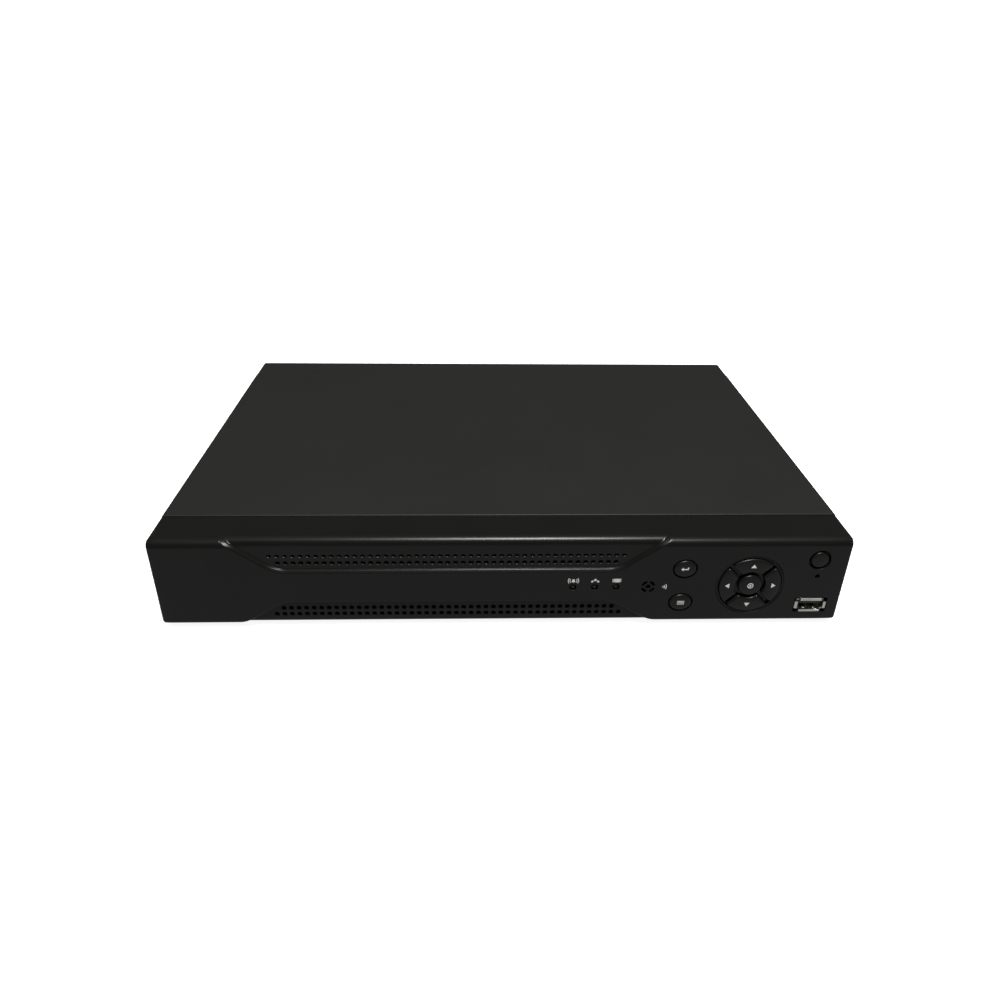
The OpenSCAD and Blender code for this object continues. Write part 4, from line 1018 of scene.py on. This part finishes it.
BELL = [[(-0.95, -0.7), (0.95, -0.7), (0.7, -0.3), (0.6, 0.4), (0.3, 0.8), (0, 0.9), (-0.3, 0.8), (-0.6, 0.4),
         (-0.7, -0.3)], bar(-0.3, -1.0, 0.3, -0.78),
        *[sector_outline(r, r + 0.32, side * QUARTER + QUARTER, 0.62)
          for r in (1.5, 2.3) for side in (-1, 1)]]
LINKED = [bar(-0.45, 0.25, 0.45, 0.95), bar(-1.9, -0.95, -1.0, -0.25), bar(1.0, -0.95, 1.9, -0.25),
          bar(-0.12, 0.02, 0.12, 0.25), bar(-1.57, -0.2, 1.57, 0.02)]
DISCS = [oval((0, z), 4.4, 0.52, 24) for z in (0.7, 0.0, -0.7)]
WAVES = [sector_outline(r, r + 0.4, 0.0, math.radians(38)) for r in (0.2, 1.1, 2.0)]
RETURN = [[(-2.1, 0.1), (-1.0, -0.85), (-1.0, 1.05)], bar(-1.0, -0.2, 1.4, 0.35),
          bar(1.0, 0.35, 1.55, 1.0)]
MENU = [bar(-1.7, z, 1.7, z + 0.36) for z in (-0.95, -0.15, 0.65)]
SELECT = [*half_rings(1.05, 1.45), circle((0, 0), 0.5, 20)]
POINTER = [[(-1.3, -0.9), (1.3, -0.9), (0, 1.1)]]


def sign(name, outlines, spot, front, body=CASE):
    """A printed sign, 0.04 mm thick, on a surface at a depth behind the bezel's face."""
    depths = (FACE_Y + (front - 0.04) * MM, FACE_Y + (front + 0.1) * MM)
    parts = [prism(f"{name}_{i}", shifted(outline, spot), *depths, INK) for i, outline in enumerate(outlines)]
    settle(joined(name, parts), "white_plastic", body=body)


def make_signs():
    """The signs beside the lamps and on the keys."""
    for name, outlines, spot in (("bell_sign", BELL, LAMPS[0]), ("network_sign", LINKED, LAMPS[1]),
                                 ("disc_sign", DISCS, LAMPS[2])):
        sign(name, outlines, (spot[0], spot[1] + 3.9), 0.0)
    sign("remote_sign", WAVES, (INFRARED[0] + 6.5, INFRARED[1]), 0.0)
    for name, outlines, spot, node in (("escape_sign", RETURN, ESC, "esc_key"),
                                       ("menu_sign", MENU, FUNCTION, "function_key"),
                                       ("select_sign", SELECT, PAD, "enter_key")):
        sign(name, outlines, spot, key_front(node), node)
    for node, angle in PAD_TURNS.items():
        moved = [[(x, z + PAD_KEY_R + 0.4) for x, z in outline] for outline in POINTER]
        sign(node + "_sign", [turned_by(outline, angle) for outline in moved], PAD, key_front(node), node)


make_keys()
make_signs()


# ---------------------------------------------------------------- lamps, window and front socket


def lamp_profile(tip, back):
    """Side of a 3 mm lamp: its dome, its barrel and the rim at its back, as (radius, depth) in metres."""
    dome = [(1.5 * math.sin(math.radians(a)), tip + 1.5 * (1 - math.cos(math.radians(a))))
            for a in range(5, 91, 17)]
    rest = [(1.5, back - 2.0), (1.9, back - 2.0), (1.9, back - 1.0), (1.5, back - 1.0), (1.5, back)]
    return [(r * MM, d * MM) for r, d in dome + rest]


def make_lamps():
    """Four domed lamps that stand on the front board."""
    back = (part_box("front_board")[0].y - FACE_Y) / MM
    parts = []
    for i, (spot, tip) in enumerate([(s, 0.5) for s in LAMPS] + [(POWER_LAMP, 2.8)]):
        parts.append(turned(f"lamp_{i}", lamp_profile(tip, back), on_front(*spot), "y", 24, LAMP))
    settle(smooth(joined("status_lamps", parts), 50), "lamp_lens", "status_leds")


def make_front_socket():
    """The front socket's shell with its spring tabs, and its tongue with four contacts."""
    shell = softened("front_usb_shell", SHELL, "nickel", 0.08, settled=False)
    # The four lips of the mouth are separate, with a notch at each corner
    notches = []
    wide, high_half, lip = 1.2, 0.9, 1.1
    for i, (x, z) in enumerate(((-6.4, -2.8), (6.4, -2.8), (-6.4, 2.8), (6.4, 2.8))):
        corner = bar(x - wide, z - high_half, x + wide, z + high_half)
        notches.append(prism(f"notch_{i}", shifted(corner, USB), FACE_Y - 1 * MM, FACE_Y + lip * MM))
    carve(shell, joined("notches", notches))
    low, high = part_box("front_usb_tongue")
    tabs = []
    for i, x in enumerate((-2.6, 2.4)):
        place = on_front(USB[0] + x, USB[1] - 2.35, 2.6)
        tabs.append((place, (0, 0, 0)))
    springs = stamped("socket_springs", PLATE, tabs, SHELL, Width=1.5 * MM, Length=3.4 * MM, Corner=0.3 * MM,
                      Depth=0.35 * MM)
    settle(joined("front_socket_shell", [shell, springs]), "nickel", "front_usb_shell")
    tongue = softened("front_usb_tongue", BOARD_BLACK, "usb_black", 0.15, settled=False)
    under = ((low.x + high.x) / 2, low.y + 3.4 * MM, low.z - 0.08 * MM)
    contacts = stamped("socket_contacts", PLATE, [(under, (0, 0, 0))], GOLD, Count=4, Pitch=2.3 * MM,
                       Width=1.1 * MM, Length=5.6 * MM, Corner=0.2 * MM, Depth=0.1 * MM)
    settle(joined("front_socket_tongue", [tongue, contacts]), "usb_black", "front_usb_tongue")


make_lamps()
make_front_socket()
softened("infrared_receiver", DARK_LENS, "dark_lens", 0.2)


# ---------------------------------------------------------------- case, feet and screws


def screws(name, node, material, slot, head=2.8, height=1.7, shank=1.45, reach=6.0):
    """The equal pan-head screws of one CAD node, sizes in millimetres."""
    made = stamped(name, SCREW, screw_places(node, height), material, Head=head * MM, Height=height * MM,
                   Shank=shank * MM, Reach=reach * MM)
    return settle(smooth(made, 35), slot, node)


def solid_boxes(node):
    """The lowest and highest corner of each loose solid of a CAD node, in order along x."""
    shape = bmesh.new()
    shape.from_mesh(frame["nodes"][node].data)
    bmesh.ops.remove_doubles(shape, verts=shape.verts, dist=1e-6)
    left = set(shape.verts)
    boxes = []
    while left:
        seen, queue = set(), [left.pop()]
        seen.add(queue[0])
        while queue:
            for edge in queue.pop().link_edges:
                for vertex in edge.verts:
                    if vertex not in seen:
                        seen.add(vertex)
                        left.discard(vertex)
                        queue.append(vertex)
        points = [v.co for v in seen]
        low = Vector([min(p[i] for p in points) for i in range(3)])
        high = Vector([max(p[i] for p in points) for i in range(3)])
        boxes.append((low, high))
    shape.free()
    return sorted(boxes, key=lambda b: tuple(round(c, 4) for c in b[0]))


def screw_places(node, head_height):
    """Where each screw of a node has its head's seat and which way it looks, read from its box.

    Upright screws hang head down under the case, except the boards' own."""
    places = []
    for low, high in solid_boxes(node):
        size = high - low
        middle = (low + high) / 2
        along = max(range(3), key=lambda i: size[i])
        height = head_height * MM
        if along == 0:
            side = 1 if middle.x > 0 else -1
            seat = (high.x if side > 0 else low.x) - side * height
            places.append(((seat, middle.y, middle.z), (0, side * QUARTER, 0)))
        elif along == 1:
            places.append(((middle.x, high.y - height, middle.z), OUT_OF_BACK))
        elif node == "board_screws":
            places.append(((middle.x, middle.y, high.z - height), (0, 0, 0)))
        else:
            places.append(((middle.x, middle.y, low.z + height), (math.pi, 0, 0)))
    return places


def make_feet():
    """Four turned rubber feet, each with a rounded rim, a recess for its screw and a ring underneath."""
    profile_mm = [(3.2, 1.8), (3.2, 0.5), (3.5, 0.15), (3.9, 0.0), (4.5, 0.0), (4.6, 0.25), (4.9, 0.25),
                  (5.0, 0.0), (5.7, 0.0), (6.2, 0.15), (6.45, 0.5), (7.0, 3.0), (1.7, 3.0), (1.7, 1.8)]
    parts = []
    for i, (low, high) in enumerate(solid_boxes("rubber_feet")):
        centre = ((low.x + high.x) / 2, (low.y + high.y) / 2, 0)
        parts.append(tube(f"foot_{i}", [(r * MM, z * MM) for r, z in profile_mm], centre, "z", 48, RUBBER))
    settle(smooth(joined("turned_feet", parts), 30), "foot_rubber", "rubber_feet")


# The folded steel: the bends' outer radius, the sheet's thickness and the step pressed near its back
COVER_BEND = 1.6
SHEET = 1.0
JOGGLE = 0.35
STEP_FROM_BACK = 22
FRONT_EDGE = 0.55
BACK_EDGE = 0.6


def cover_path(half, top, bend):
    """The cover's U with rounded bends, as (x, z) in millimetres from its left foot over to its right."""
    foot = cover_low.z / MM
    left = [(-half, foot)]
    for step in range(7):
        turn = math.radians(15 * step)
        left.append((-half + bend * (1 - math.cos(turn)), top - bend * (1 - math.sin(turn))))
    return left + [(-x, z) for x, z in reversed(left)]


def make_cover():
    """The folded cover: bent sides, a pressed step near its back, a folded lip, vents and screw holes."""
    half, top = cover_high.x / MM, cover_high.z / MM
    front, back = cover_low.y / MM, cover_high.y / MM
    step_y = back - STEP_FROM_BACK
    edge = np.radians((0, 18, 36, 54, 72, 90))
    places = [(front + FRONT_EDGE * (1 - math.cos(a)), FRONT_EDGE * (1 - math.sin(a)), 0.0) for a in edge]
    places += [(y, 0.0, 0.0) for y in np.linspace(front + 3, step_y - 1.2, 12)]
    places += [(step_y - 0.8 + 1.6 * t, 0.0, JOGGLE * t * t * (3 - 2 * t)) for t in np.linspace(0, 1, 7)]
    places += [(y, 0.0, JOGGLE) for y in np.linspace(step_y + 2, back - 1, 4)]
    places += [(back - BACK_EDGE + BACK_EDGE * math.sin(a), BACK_EDGE * (1 - math.cos(a)), JOGGLE)
               for a in np.radians((0, 30, 60, 90))]
    rings = []
    for y, inward, drop in places:
        outer = cover_path(half - inward, top - drop - inward, COVER_BEND)
        inner = cover_path(half - SHEET, top - drop - SHEET, COVER_BEND - SHEET)
        rings.append([(x * MM, y * MM, z * MM) for x, z in outer + inner[::-1]])
    cover = stack("folded_cover", rings, COVER)
    lip = block("rear_lip", ((SHEET - half) * MM, (back - SHEET) * MM, (top - 7) * MM),
                ((half - SHEET) * MM, back * MM, (top - JOGGLE - 0.5) * MM), COVER)
    bevelled(lip, 0.25 * MM)
    across, up = (QUARTER, 0, QUARTER), cover_low.z / MM - 0.2
    start = -(half + 2)
    reach = (2 * half + 4) * MM
    vents = [((start * MM, 0.5 * MM, (up + z) * MM), across) for z in (20, 33)]
    carve(cover, stamped("side_vents", PLATE, vents, Count=16, Pitch=7 * MM, Width=3 * MM, Length=10 * MM,
                         Corner=1.4 * MM, Depth=reach))
    holes = [((start * MM, 6 * MM, (up + 9) * MM), across)]
    carve(cover, stamped("side_holes", PLUG, holes, Count=2, Pitch=144 * MM, Radius=1.7 * MM, Flare=0.1 * MM,
                         Depth=reach, Proud=0.5 * MM))
    holes = [((0, (back + 1) * MM, (top - 4.2) * MM), (QUARTER, 0, 0))]
    carve(lip, stamped("lip_holes", PLUG, holes, Count=3, Pitch=118 * MM, Radius=1.7 * MM, Flare=0.1 * MM,
                       Depth=4 * MM, Proud=0.5 * MM))
    whole = joined("textured_cover", [cover, lip], COVER)
    weighted(whole, 35)
    return settle(whole, "cover_paint", "top_cover")


make_cover()
softened("base_tray", ZINC, "zinc_steel", 0.15)
make_feet()
screws("cover_screws", "case_screws", BLACK_SCREW, "black_screw")
screws("bezel_fixings", "bezel_screws", BRIGHT_SCREW, "bright_screw",
       shank=1.2, reach=9)
screws("foot_fixings", "foot_screws", BRIGHT_SCREW, "bright_screw",
       height=1.4, reach=4.5)
screws("board_fixings", "board_screws", BRIGHT_SCREW, "bright_screw")
screws("drive_fixings", "drive_screws", BRIGHT_SCREW, "bright_screw",
       height=1.6, reach=5)


# ---------------------------------------------------------------- rear panel

y_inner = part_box("video_jack_block")[1].y


def jack_spots(node):
    """The middles of a node's round jacks, across and up, from its loose solids."""
    found = []
    for low, high in solid_boxes(node):
        spot = ((low.x + high.x) / 2, (low.z + high.z) / 2)
        if all(abs(spot[0] - x) + abs(spot[1] - z) > 1 * MM for x, z in found):
            found.append(spot)
    return found


# Sides of the jacks' parts, as (radius, distance out from the panel's inside) in millimetres
BARREL = [(4.1, 0.0), (6.2, 0.0), (6.2, 3.6), (5.9, 4.2), (4.8, 4.2), (4.8, 5.0), (4.55, 5.2), (4.55, 5.7),
          (4.8, 5.9), (4.8, 12.4), (4.6, 12.85), (4.35, 13.0), (4.1, 12.7)]
CONTACT = [(0.6, 3.0), (1.05, 0.9), (1.05, 8.4), (0.9, 8.8), (0.6, 8.8)]
INSULATOR = [(1.15, 0.9), (4.05, 0.2), (4.05, 3.5), (2.4, 3.5), (2.4, 9.3), (2.2, 9.6), (1.3, 9.6),
             (1.15, 9.3)]
PHONO = [(3.4, 0.5), (5.2, 0.0), (5.2, 1.7), (4.95, 2.0), (4.15, 2.0), (4.15, 10.6), (3.95, 11.0),
         (3.6, 11.0), (3.4, 10.7)]
PHONO_CORE = [(1.65, 2.0), (3.35, 0.5), (3.35, 9.7), (3.0, 10.0), (2.0, 10.0), (1.65, 9.7)]


def row_of_tubes(name, profile, spots, sides, material):
    """The same tube at each spot, as (radius, distance out from the panel's inside) in millimetres."""
    scaled = [(r * MM, h * MM) for r, h in profile]
    parts = [tube(f"{name}_{i}", scaled, (x, y_inner, z), "y", sides, material)
             for i, (x, z) in enumerate(spots)]
    return joined(name, parts)


def make_jacks():
    """Bayonet video jacks and phono jacks."""
    length = (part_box("video_jack_barrels")[1].y - y_inner) / MM
    spots = jack_spots("video_jack_barrels")
    shell = [(r, h if h < 6 else length - 13.0 + h) for r, h in BARREL]
    barrels = row_of_tubes("bayonet_shells", shell, spots, 40, NICKEL)
    contacts = row_of_tubes("bayonet_contacts", CONTACT, spots, 16, GOLD)
    lugs = []
    lug = [(0.75 * MM, 5.9 * MM), (1.0 * MM, 5.65 * MM), (1.0 * MM, 4.2 * MM)]
    for i, (x, z) in enumerate(spots):
        for side in (-1, 1):
            sized = [(r, side * h) for r, h in lug]
            centre = (x, y_inner + (length - 5) * MM, z)
            lugs.append(turned(f"lug_{i}_{side}", sized, centre, "x", 16, NICKEL))
    jacks = joined("bayonet_jacks", [barrels, contacts, *lugs])
    settle(smooth(jacks, 32), "nickel", "video_jack_barrels")
    settle(smooth(row_of_tubes("bayonet_insulators", INSULATOR, spots, 32, WHITE), 32), "white_plastic",
           "video_jack_insulators")
    spots = jack_spots("audio_jack_barrels")
    settle(smooth(row_of_tubes("phono_shells", PHONO, spots, 40, GOLD), 32), "gold_plate",
           "audio_jack_barrels")
    settle(smooth(row_of_tubes("phono_cores", PHONO_CORE, spots, 32, RED), 32), "red_plastic",
           "audio_jack_insulators")


def with_contacts(node, material, slot, width, places, **sizes):
    """A softened CAD node with rows of gilt contacts laid on it."""
    base = softened(node, material, slot, width, settled=False)
    gilt = stamped(node + "_contacts", PLATE, places, GOLD, **sizes)
    return settle(joined(node + "_with_contacts", [base, gilt]), slot, node)


make_jacks()
low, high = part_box("network_port")
row_at = ((low.x + high.x) / 2, high.y - 7 * MM, low.z + 10.2 * MM)
with_contacts("network_port", SHELL, "nickel", 0.2, [(row_at, (math.radians(-16), 0, 0))], Count=8,
              Pitch=1.02 * MM, Width=0.35 * MM, Length=8 * MM, Corner=0.05 * MM, Depth=0.2 * MM)
tongues = [(((lo.x + hi.x) / 2, hi.y - 4.5 * MM, lo.z - 0.05 * MM), (0, 0, 0))
           for lo, hi in solid_boxes("rear_usb_tongues")]
with_contacts("rear_usb_tongues", WHITE, "white_plastic", 0.15, tongues, Count=4, Pitch=2.3 * MM,
              Width=1.1 * MM, Length=7 * MM, Corner=0.1 * MM, Depth=0.1 * MM)
low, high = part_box("digital_port_tongue")
with_contacts("digital_port_tongue", BOARD_BLACK, "black_plastic", 0.1,
              [(((low.x + high.x) / 2, high.y - 3.5 * MM, high.z - 0.02 * MM), (0, 0, 0))], Count=10,
              Pitch=1.0 * MM, Width=0.45 * MM, Length=6 * MM, Corner=0.05 * MM, Depth=0.06 * MM)
for node, material, slot, width in (("video_jack_block", BLACK, "black_plastic", 0.3),
                                    ("audio_jack_block", BLACK, "black_plastic", 0.3),
                                    ("monitor_port_shell", NICKEL, "nickel", 0.15),
                                    ("monitor_port_insert", BLUE, "blue_plastic", 0.12),
                                    ("monitor_port_jackscrews", NICKEL, "nickel", 0.2),
                                    ("digital_port_shell", SHELL, "nickel", 0.12),
                                    ("rear_usb_shell", SHELL, "nickel", 0.2),
                                    ("terminal_block", GREEN, "green_plastic", 0.2),
                                    ("terminal_screws", BRIGHT_SCREW, "bright_screw", 0.08),
                                    ("power_inlet", BLACK, "black_plastic", 0.3),
                                    ("power_inlet_pin", NICKEL, "nickel", 0.3),
                                    ("ground_screw", BRIGHT_SCREW, "bright_screw", 0.15)):
    softened(node, material, slot, width)


# ---------------------------------------------------------------- fan


def make_rotor():
    """A cup-shaped hub with seven twisted blades."""
    low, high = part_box("fan_rotor")
    axis = ((low.x + high.x) / 2, low.y, (low.z + high.z) / 2)
    hub = [(0.3, 9.0), (8.6, 9.0), (9.9, 8.7), (10.5, 8.0), (10.5, 2.5), (9.3, 2.5), (9.3, 7.6), (1.0, 7.6),
           (1.0, 0.1), (0.3, 0.0)]
    parts = [tube("hub", [(r * MM, h * MM) for r, h in hub], axis, "y", 56, BOARD_BLACK)]
    blades, root, tip = 7, 10.2, 18.3
    for blade in range(blades):
        start = 2 * math.pi * blade / blades
        rings = []
        for step in range(7):
            radius = root + (tip - root) * step / 6
            lean = math.radians(44 - 12 * step / 6)
            chord = 7.4 + 1.6 * step / 6
            upper, lower = [], []
            for k in range(9):
                along = (k / 8 - 0.5) * chord
                camber = 0.5 * (1 - (2 * k / 8 - 1) ** 2)
                half = 0.15 + 0.33 * math.sqrt(max(0.0, 1 - (2 * k / 8 - 1) ** 2))
                for side, into in ((1, upper), (-1, lower)):
                    across = along * math.cos(lean) - (camber + side * half) * math.sin(lean)
                    rise = along * math.sin(lean) + (camber + side * half) * math.cos(lean)
                    turn = start + across / radius
                    into.append((axis[0] + radius * math.cos(turn) * MM, axis[1] + (5.7 + rise * 0.88) * MM,
                                 axis[2] + radius * math.sin(turn) * MM))
            rings.append(upper + lower[::-1])
        parts.append(stack(f"blade_{blade}", rings, BOARD_BLACK))
    settle(smooth(joined("fan_wheel", parts), 40), "black_plastic", "fan_rotor")


make_rotor()
softened("fan_frame", BLACK, "black_plastic", 0.3)
softened("fan_cable", RUBBER, "wire_black", 0.15)


# ---------------------------------------------------------------- boards and drive


def chip_legs():
    """Bent legs along two sides of each wide chip, and along all four of the square ones."""
    parts = []
    for i, (low, high) in enumerate(solid_boxes("board_chips")):
        w, d = (high.x - low.x) / MM, (high.y - low.y) / MM
        if high.z - low.z > 3 * MM:
            continue
        foot_z = low.z + 0.05 * MM
        x, y = (low.x + high.x) / 2, (low.y + high.y) / 2
        rows = [((x, low.y - 0.2 * MM, foot_z), (0, 0, 0), w), ((x, high.y + 0.2 * MM, foot_z), (0, 0, 0), w)]
        rows += [((low.x - 0.2 * MM, y, foot_z), (0, 0, QUARTER), d),
                 ((high.x + 0.2 * MM, y, foot_z), (0, 0, QUARTER), d)]
        for k, (place, turn, side) in enumerate(rows):
            count = int((side - 1.6) / 0.8)
            parts.append(stamped(f"legs_{i}_{k}", PLATE, [(place, turn)], BRIGHT_SCREW, Count=count,
                                 Pitch=0.8 * MM, Width=0.35 * MM, Length=1.6 * MM, Corner=0.02 * MM,
                                 Depth=0.25 * MM))
    return joined("chip_legs", parts)


def small_parts():
    """Surface-mounted resistors and capacitors in short rows between the larger parts."""
    rng = np.random.default_rng(12)
    board_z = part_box("main_board")[1].z
    kept_clear = [b for n in ("board_chips", "board_capacitors", "coin_cell_holder", "buzzer",
                              "front_ribbon_cable", "board_screws", "drive_data_cable", "video_jack_block",
                              "audio_jack_block", "monitor_port_insert", "network_port", "rear_usb_shell",
                              "terminal_block", "power_inlet", "digital_port_shell", "drive_power_cable",
                              "fan_cable")
                  for b in solid_boxes(n)]
    room = 0.006
    rows = []
    while len(rows) < 60:
        x, y = rng.uniform(-0.150, 0.038), rng.uniform(-0.054, 0.090)
        turn = QUARTER * int(rng.integers(0, 2))
        if all(x < lo.x - room or x > hi.x + room or y < lo.y - room or y > hi.y + room
               for lo, hi in kept_clear):
            rows.append(((float(x), float(y), board_z - 0.02 * MM), (0, 0, turn)))
    dark = stamped("resistors", PLATE, rows[:30], BOARD_BLACK, Count=4, Pitch=2.0 * MM, Width=0.9 * MM,
                   Length=1.7 * MM, Corner=0.05 * MM, Depth=0.55 * MM)
    pale = stamped("ceramic_capacitors", PLATE, rows[30:], CERAMIC, Count=3, Pitch=2.4 * MM, Width=1.2 * MM,
                   Length=2.0 * MM, Corner=0.05 * MM, Depth=0.9 * MM)
    return joined("small_parts", [dark, pale])


def make_heatsink():
    """An extruded heatsink: a base with nine fins."""
    low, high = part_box("chip_heatsink")
    middle = (low + high) / 2
    base = bevelled(block("heatsink_base", low, (high.x, high.y, low.z + 3 * MM), LID), 0.3 * MM)
    size = high.x - low.x
    at = (middle.x, middle.y, low.z + 2.5 * MM)
    fins = stamped("heatsink_fins", PLATE, [(at, (0, 0, 0))], LID, Count=9, Pitch=(size - 1.4 * MM) / 8,
                   Width=1.4 * MM, Length=high.y - low.y, Corner=0.4 * MM, Depth=high.z - low.z - 2.5 * MM)
    settle(smooth(joined("finned_heatsink", [base, fins]), 40), "aluminium", "chip_heatsink")


CERAMIC = moulded("ceramic_body", "#8a7355", "#9a8262", 0.4, grit=0.2)
settle(chip_legs(), "bright_screw")
settle(small_parts(), "black_plastic")
make_heatsink()
for node, material, slot, width in (("main_board", BOARD, "board_green", 0.08),
                                    ("front_board", BOARD, "board_green", 0.08),
                                    ("board_chips", BOARD_BLACK, "black_plastic", 0.15),
                                    ("board_capacitors", SLEEVE, "capacitor_sleeve", 0.3),
                                    ("coin_cell", BRIGHT_SCREW, "bright_screw", 0.25),
                                    ("coin_cell_holder", BLACK, "black_plastic", 0.25),
                                    ("buzzer", BLACK, "black_plastic", 0.4),
                                    ("switch_housings", BLACK, "black_plastic", 0.2),
                                    ("front_ribbon_cable", RIBBON, "ribbon_grey", 0.12),
                                    ("drive_base", CAST, "aluminium", 0.4),
                                    ("drive_lid", LID, "aluminium", 0.3),
                                    ("drive_board", DRIVE_BOARD, "drive_board_blue", 0.08),
                                    ("drive_platters", MIRROR, "platter_mirror", 0.15),
                                    ("drive_head_arm", CAST, "aluminium", 0.2),
                                    ("drive_data_cable", CABLE_RED, "cable_red", 0.25),
                                    ("drive_power_cable", CABLE_YELLOW, "cable_yellow", 0.25)):
    softened(node, material, slot, width)


# ---------------------------------------------------------------- floor, lights and camera


def make_floor():
    """A pale floor that sweeps up all round into a low wall, like a studio's paper."""
    flat, sweep, wall_top = 1.6, 1.2, (2.8, 2.6)
    profile = [(0.0, 0.0), (flat, 0.0)]
    profile += [(flat + sweep * math.sin(a), sweep * (1 - math.cos(a))) for a in np.radians(range(6, 91, 6))]
    profile += [wall_top]
    points, faces = [(0.0, 0.0, 0.0)], []
    sides = 64
    for radius, height in profile[1:]:
        points += [(x, y, height) for x, y in circle((0, 0), radius, sides)]
    for i in range(sides):
        j = (i + 1) % sides
        faces.append((0, 1 + i, 1 + j))
        for k in range(len(profile) - 2):
            low, high = 1 + k * sides, 1 + (k + 1) * sides
            faces.append((low + i, high + i, high + j, low + j))
    floor = mesh_piece("floor", points, faces)
    paper, tree, shader, place = new_material("white_paper", 0.95, specular=0.0)
    mottle(tree, shader, place, "#f6f6f6", "#f9f9f9", 0.5)
    shader.inputs["Emission Color"].default_value = (1, 1, 1, 1)
    shader.inputs["Emission Strength"].default_value = PAPER_GLOW
    floor.data.materials.append(paper)
    smooth(floor, 60)
    floor.visible_glossy = False
    floor.visible_diffuse = False


def softbox(name, place, aim, width, height, power):
    """A rectangular area light that points at a spot."""
    lamp = bpy.data.lights.new(name, "AREA")
    lamp.shape = "RECTANGLE"
    lamp.size, lamp.size_y, lamp.energy = width, height, power
    made = bpy.data.objects.new(name, lamp)
    bpy.context.scene.collection.objects.link(made)
    made.location = place
    made.rotation_euler = (Vector(aim) - Vector(place)).to_track_quat("-Z", "Y").to_euler()
    return made


def make_room(low, horizon, high):
    """An even grey room: its brightness goes from the ground to the horizon and on to overhead."""
    world = bpy.data.worlds.new("studio")
    world.use_nodes = True
    tree = world.node_tree
    way = add(tree, "ShaderNodeTexCoord").outputs["Generated"]
    rise = add(tree, "ShaderNodeSeparateXYZ", {0: way})
    share = add(tree, "ShaderNodeMapRange", {"Value": rise.outputs["Z"], "From Min": -1.0, "From Max": 1.0})
    ramp = add(tree, "ShaderNodeValToRGB", {"Fac": share.outputs["Result"]})
    stops = ((0.30, low), (0.46, horizon), (0.64, 1.8 * horizon), (0.77, 0.7 * horizon), (0.95, high))
    for i, (at, value) in enumerate(stops):
        stop = ramp.color_ramp.elements[i] if i < 2 else ramp.color_ramp.elements.new(at)
        stop.position = at
        stop.color = (value, value, value, 1)
    tree.links.new(ramp.outputs["Color"], tree.nodes["Background"].inputs["Color"])
    bpy.context.scene.world = world


# The paper shines a little by itself, so that it stays white round a black object
PAPER_GLOW = 0.9
make_floor()
make_room(0.50, 0.07, 0.30)
softbox("overhead", (0.09, -0.45, 1.12), (0, 0, 0), 0.22, 0.30, 15)
bpy.context.scene.view_settings.view_transform = "Standard"

camera = bpy.data.objects.new("camera", bpy.data.cameras.new("camera"))
bpy.context.scene.collection.objects.link(camera)
camera.data.sensor_width = 36
camera.data.lens = 28.457
camera.data.clip_start = 0.01
camera.location = (-0.01426, -0.42599, 0.24258)
camera.rotation_euler = [math.radians(a) for a in (60.499, -0.856, -1.715)]
bpy.context.scene.camera = camera
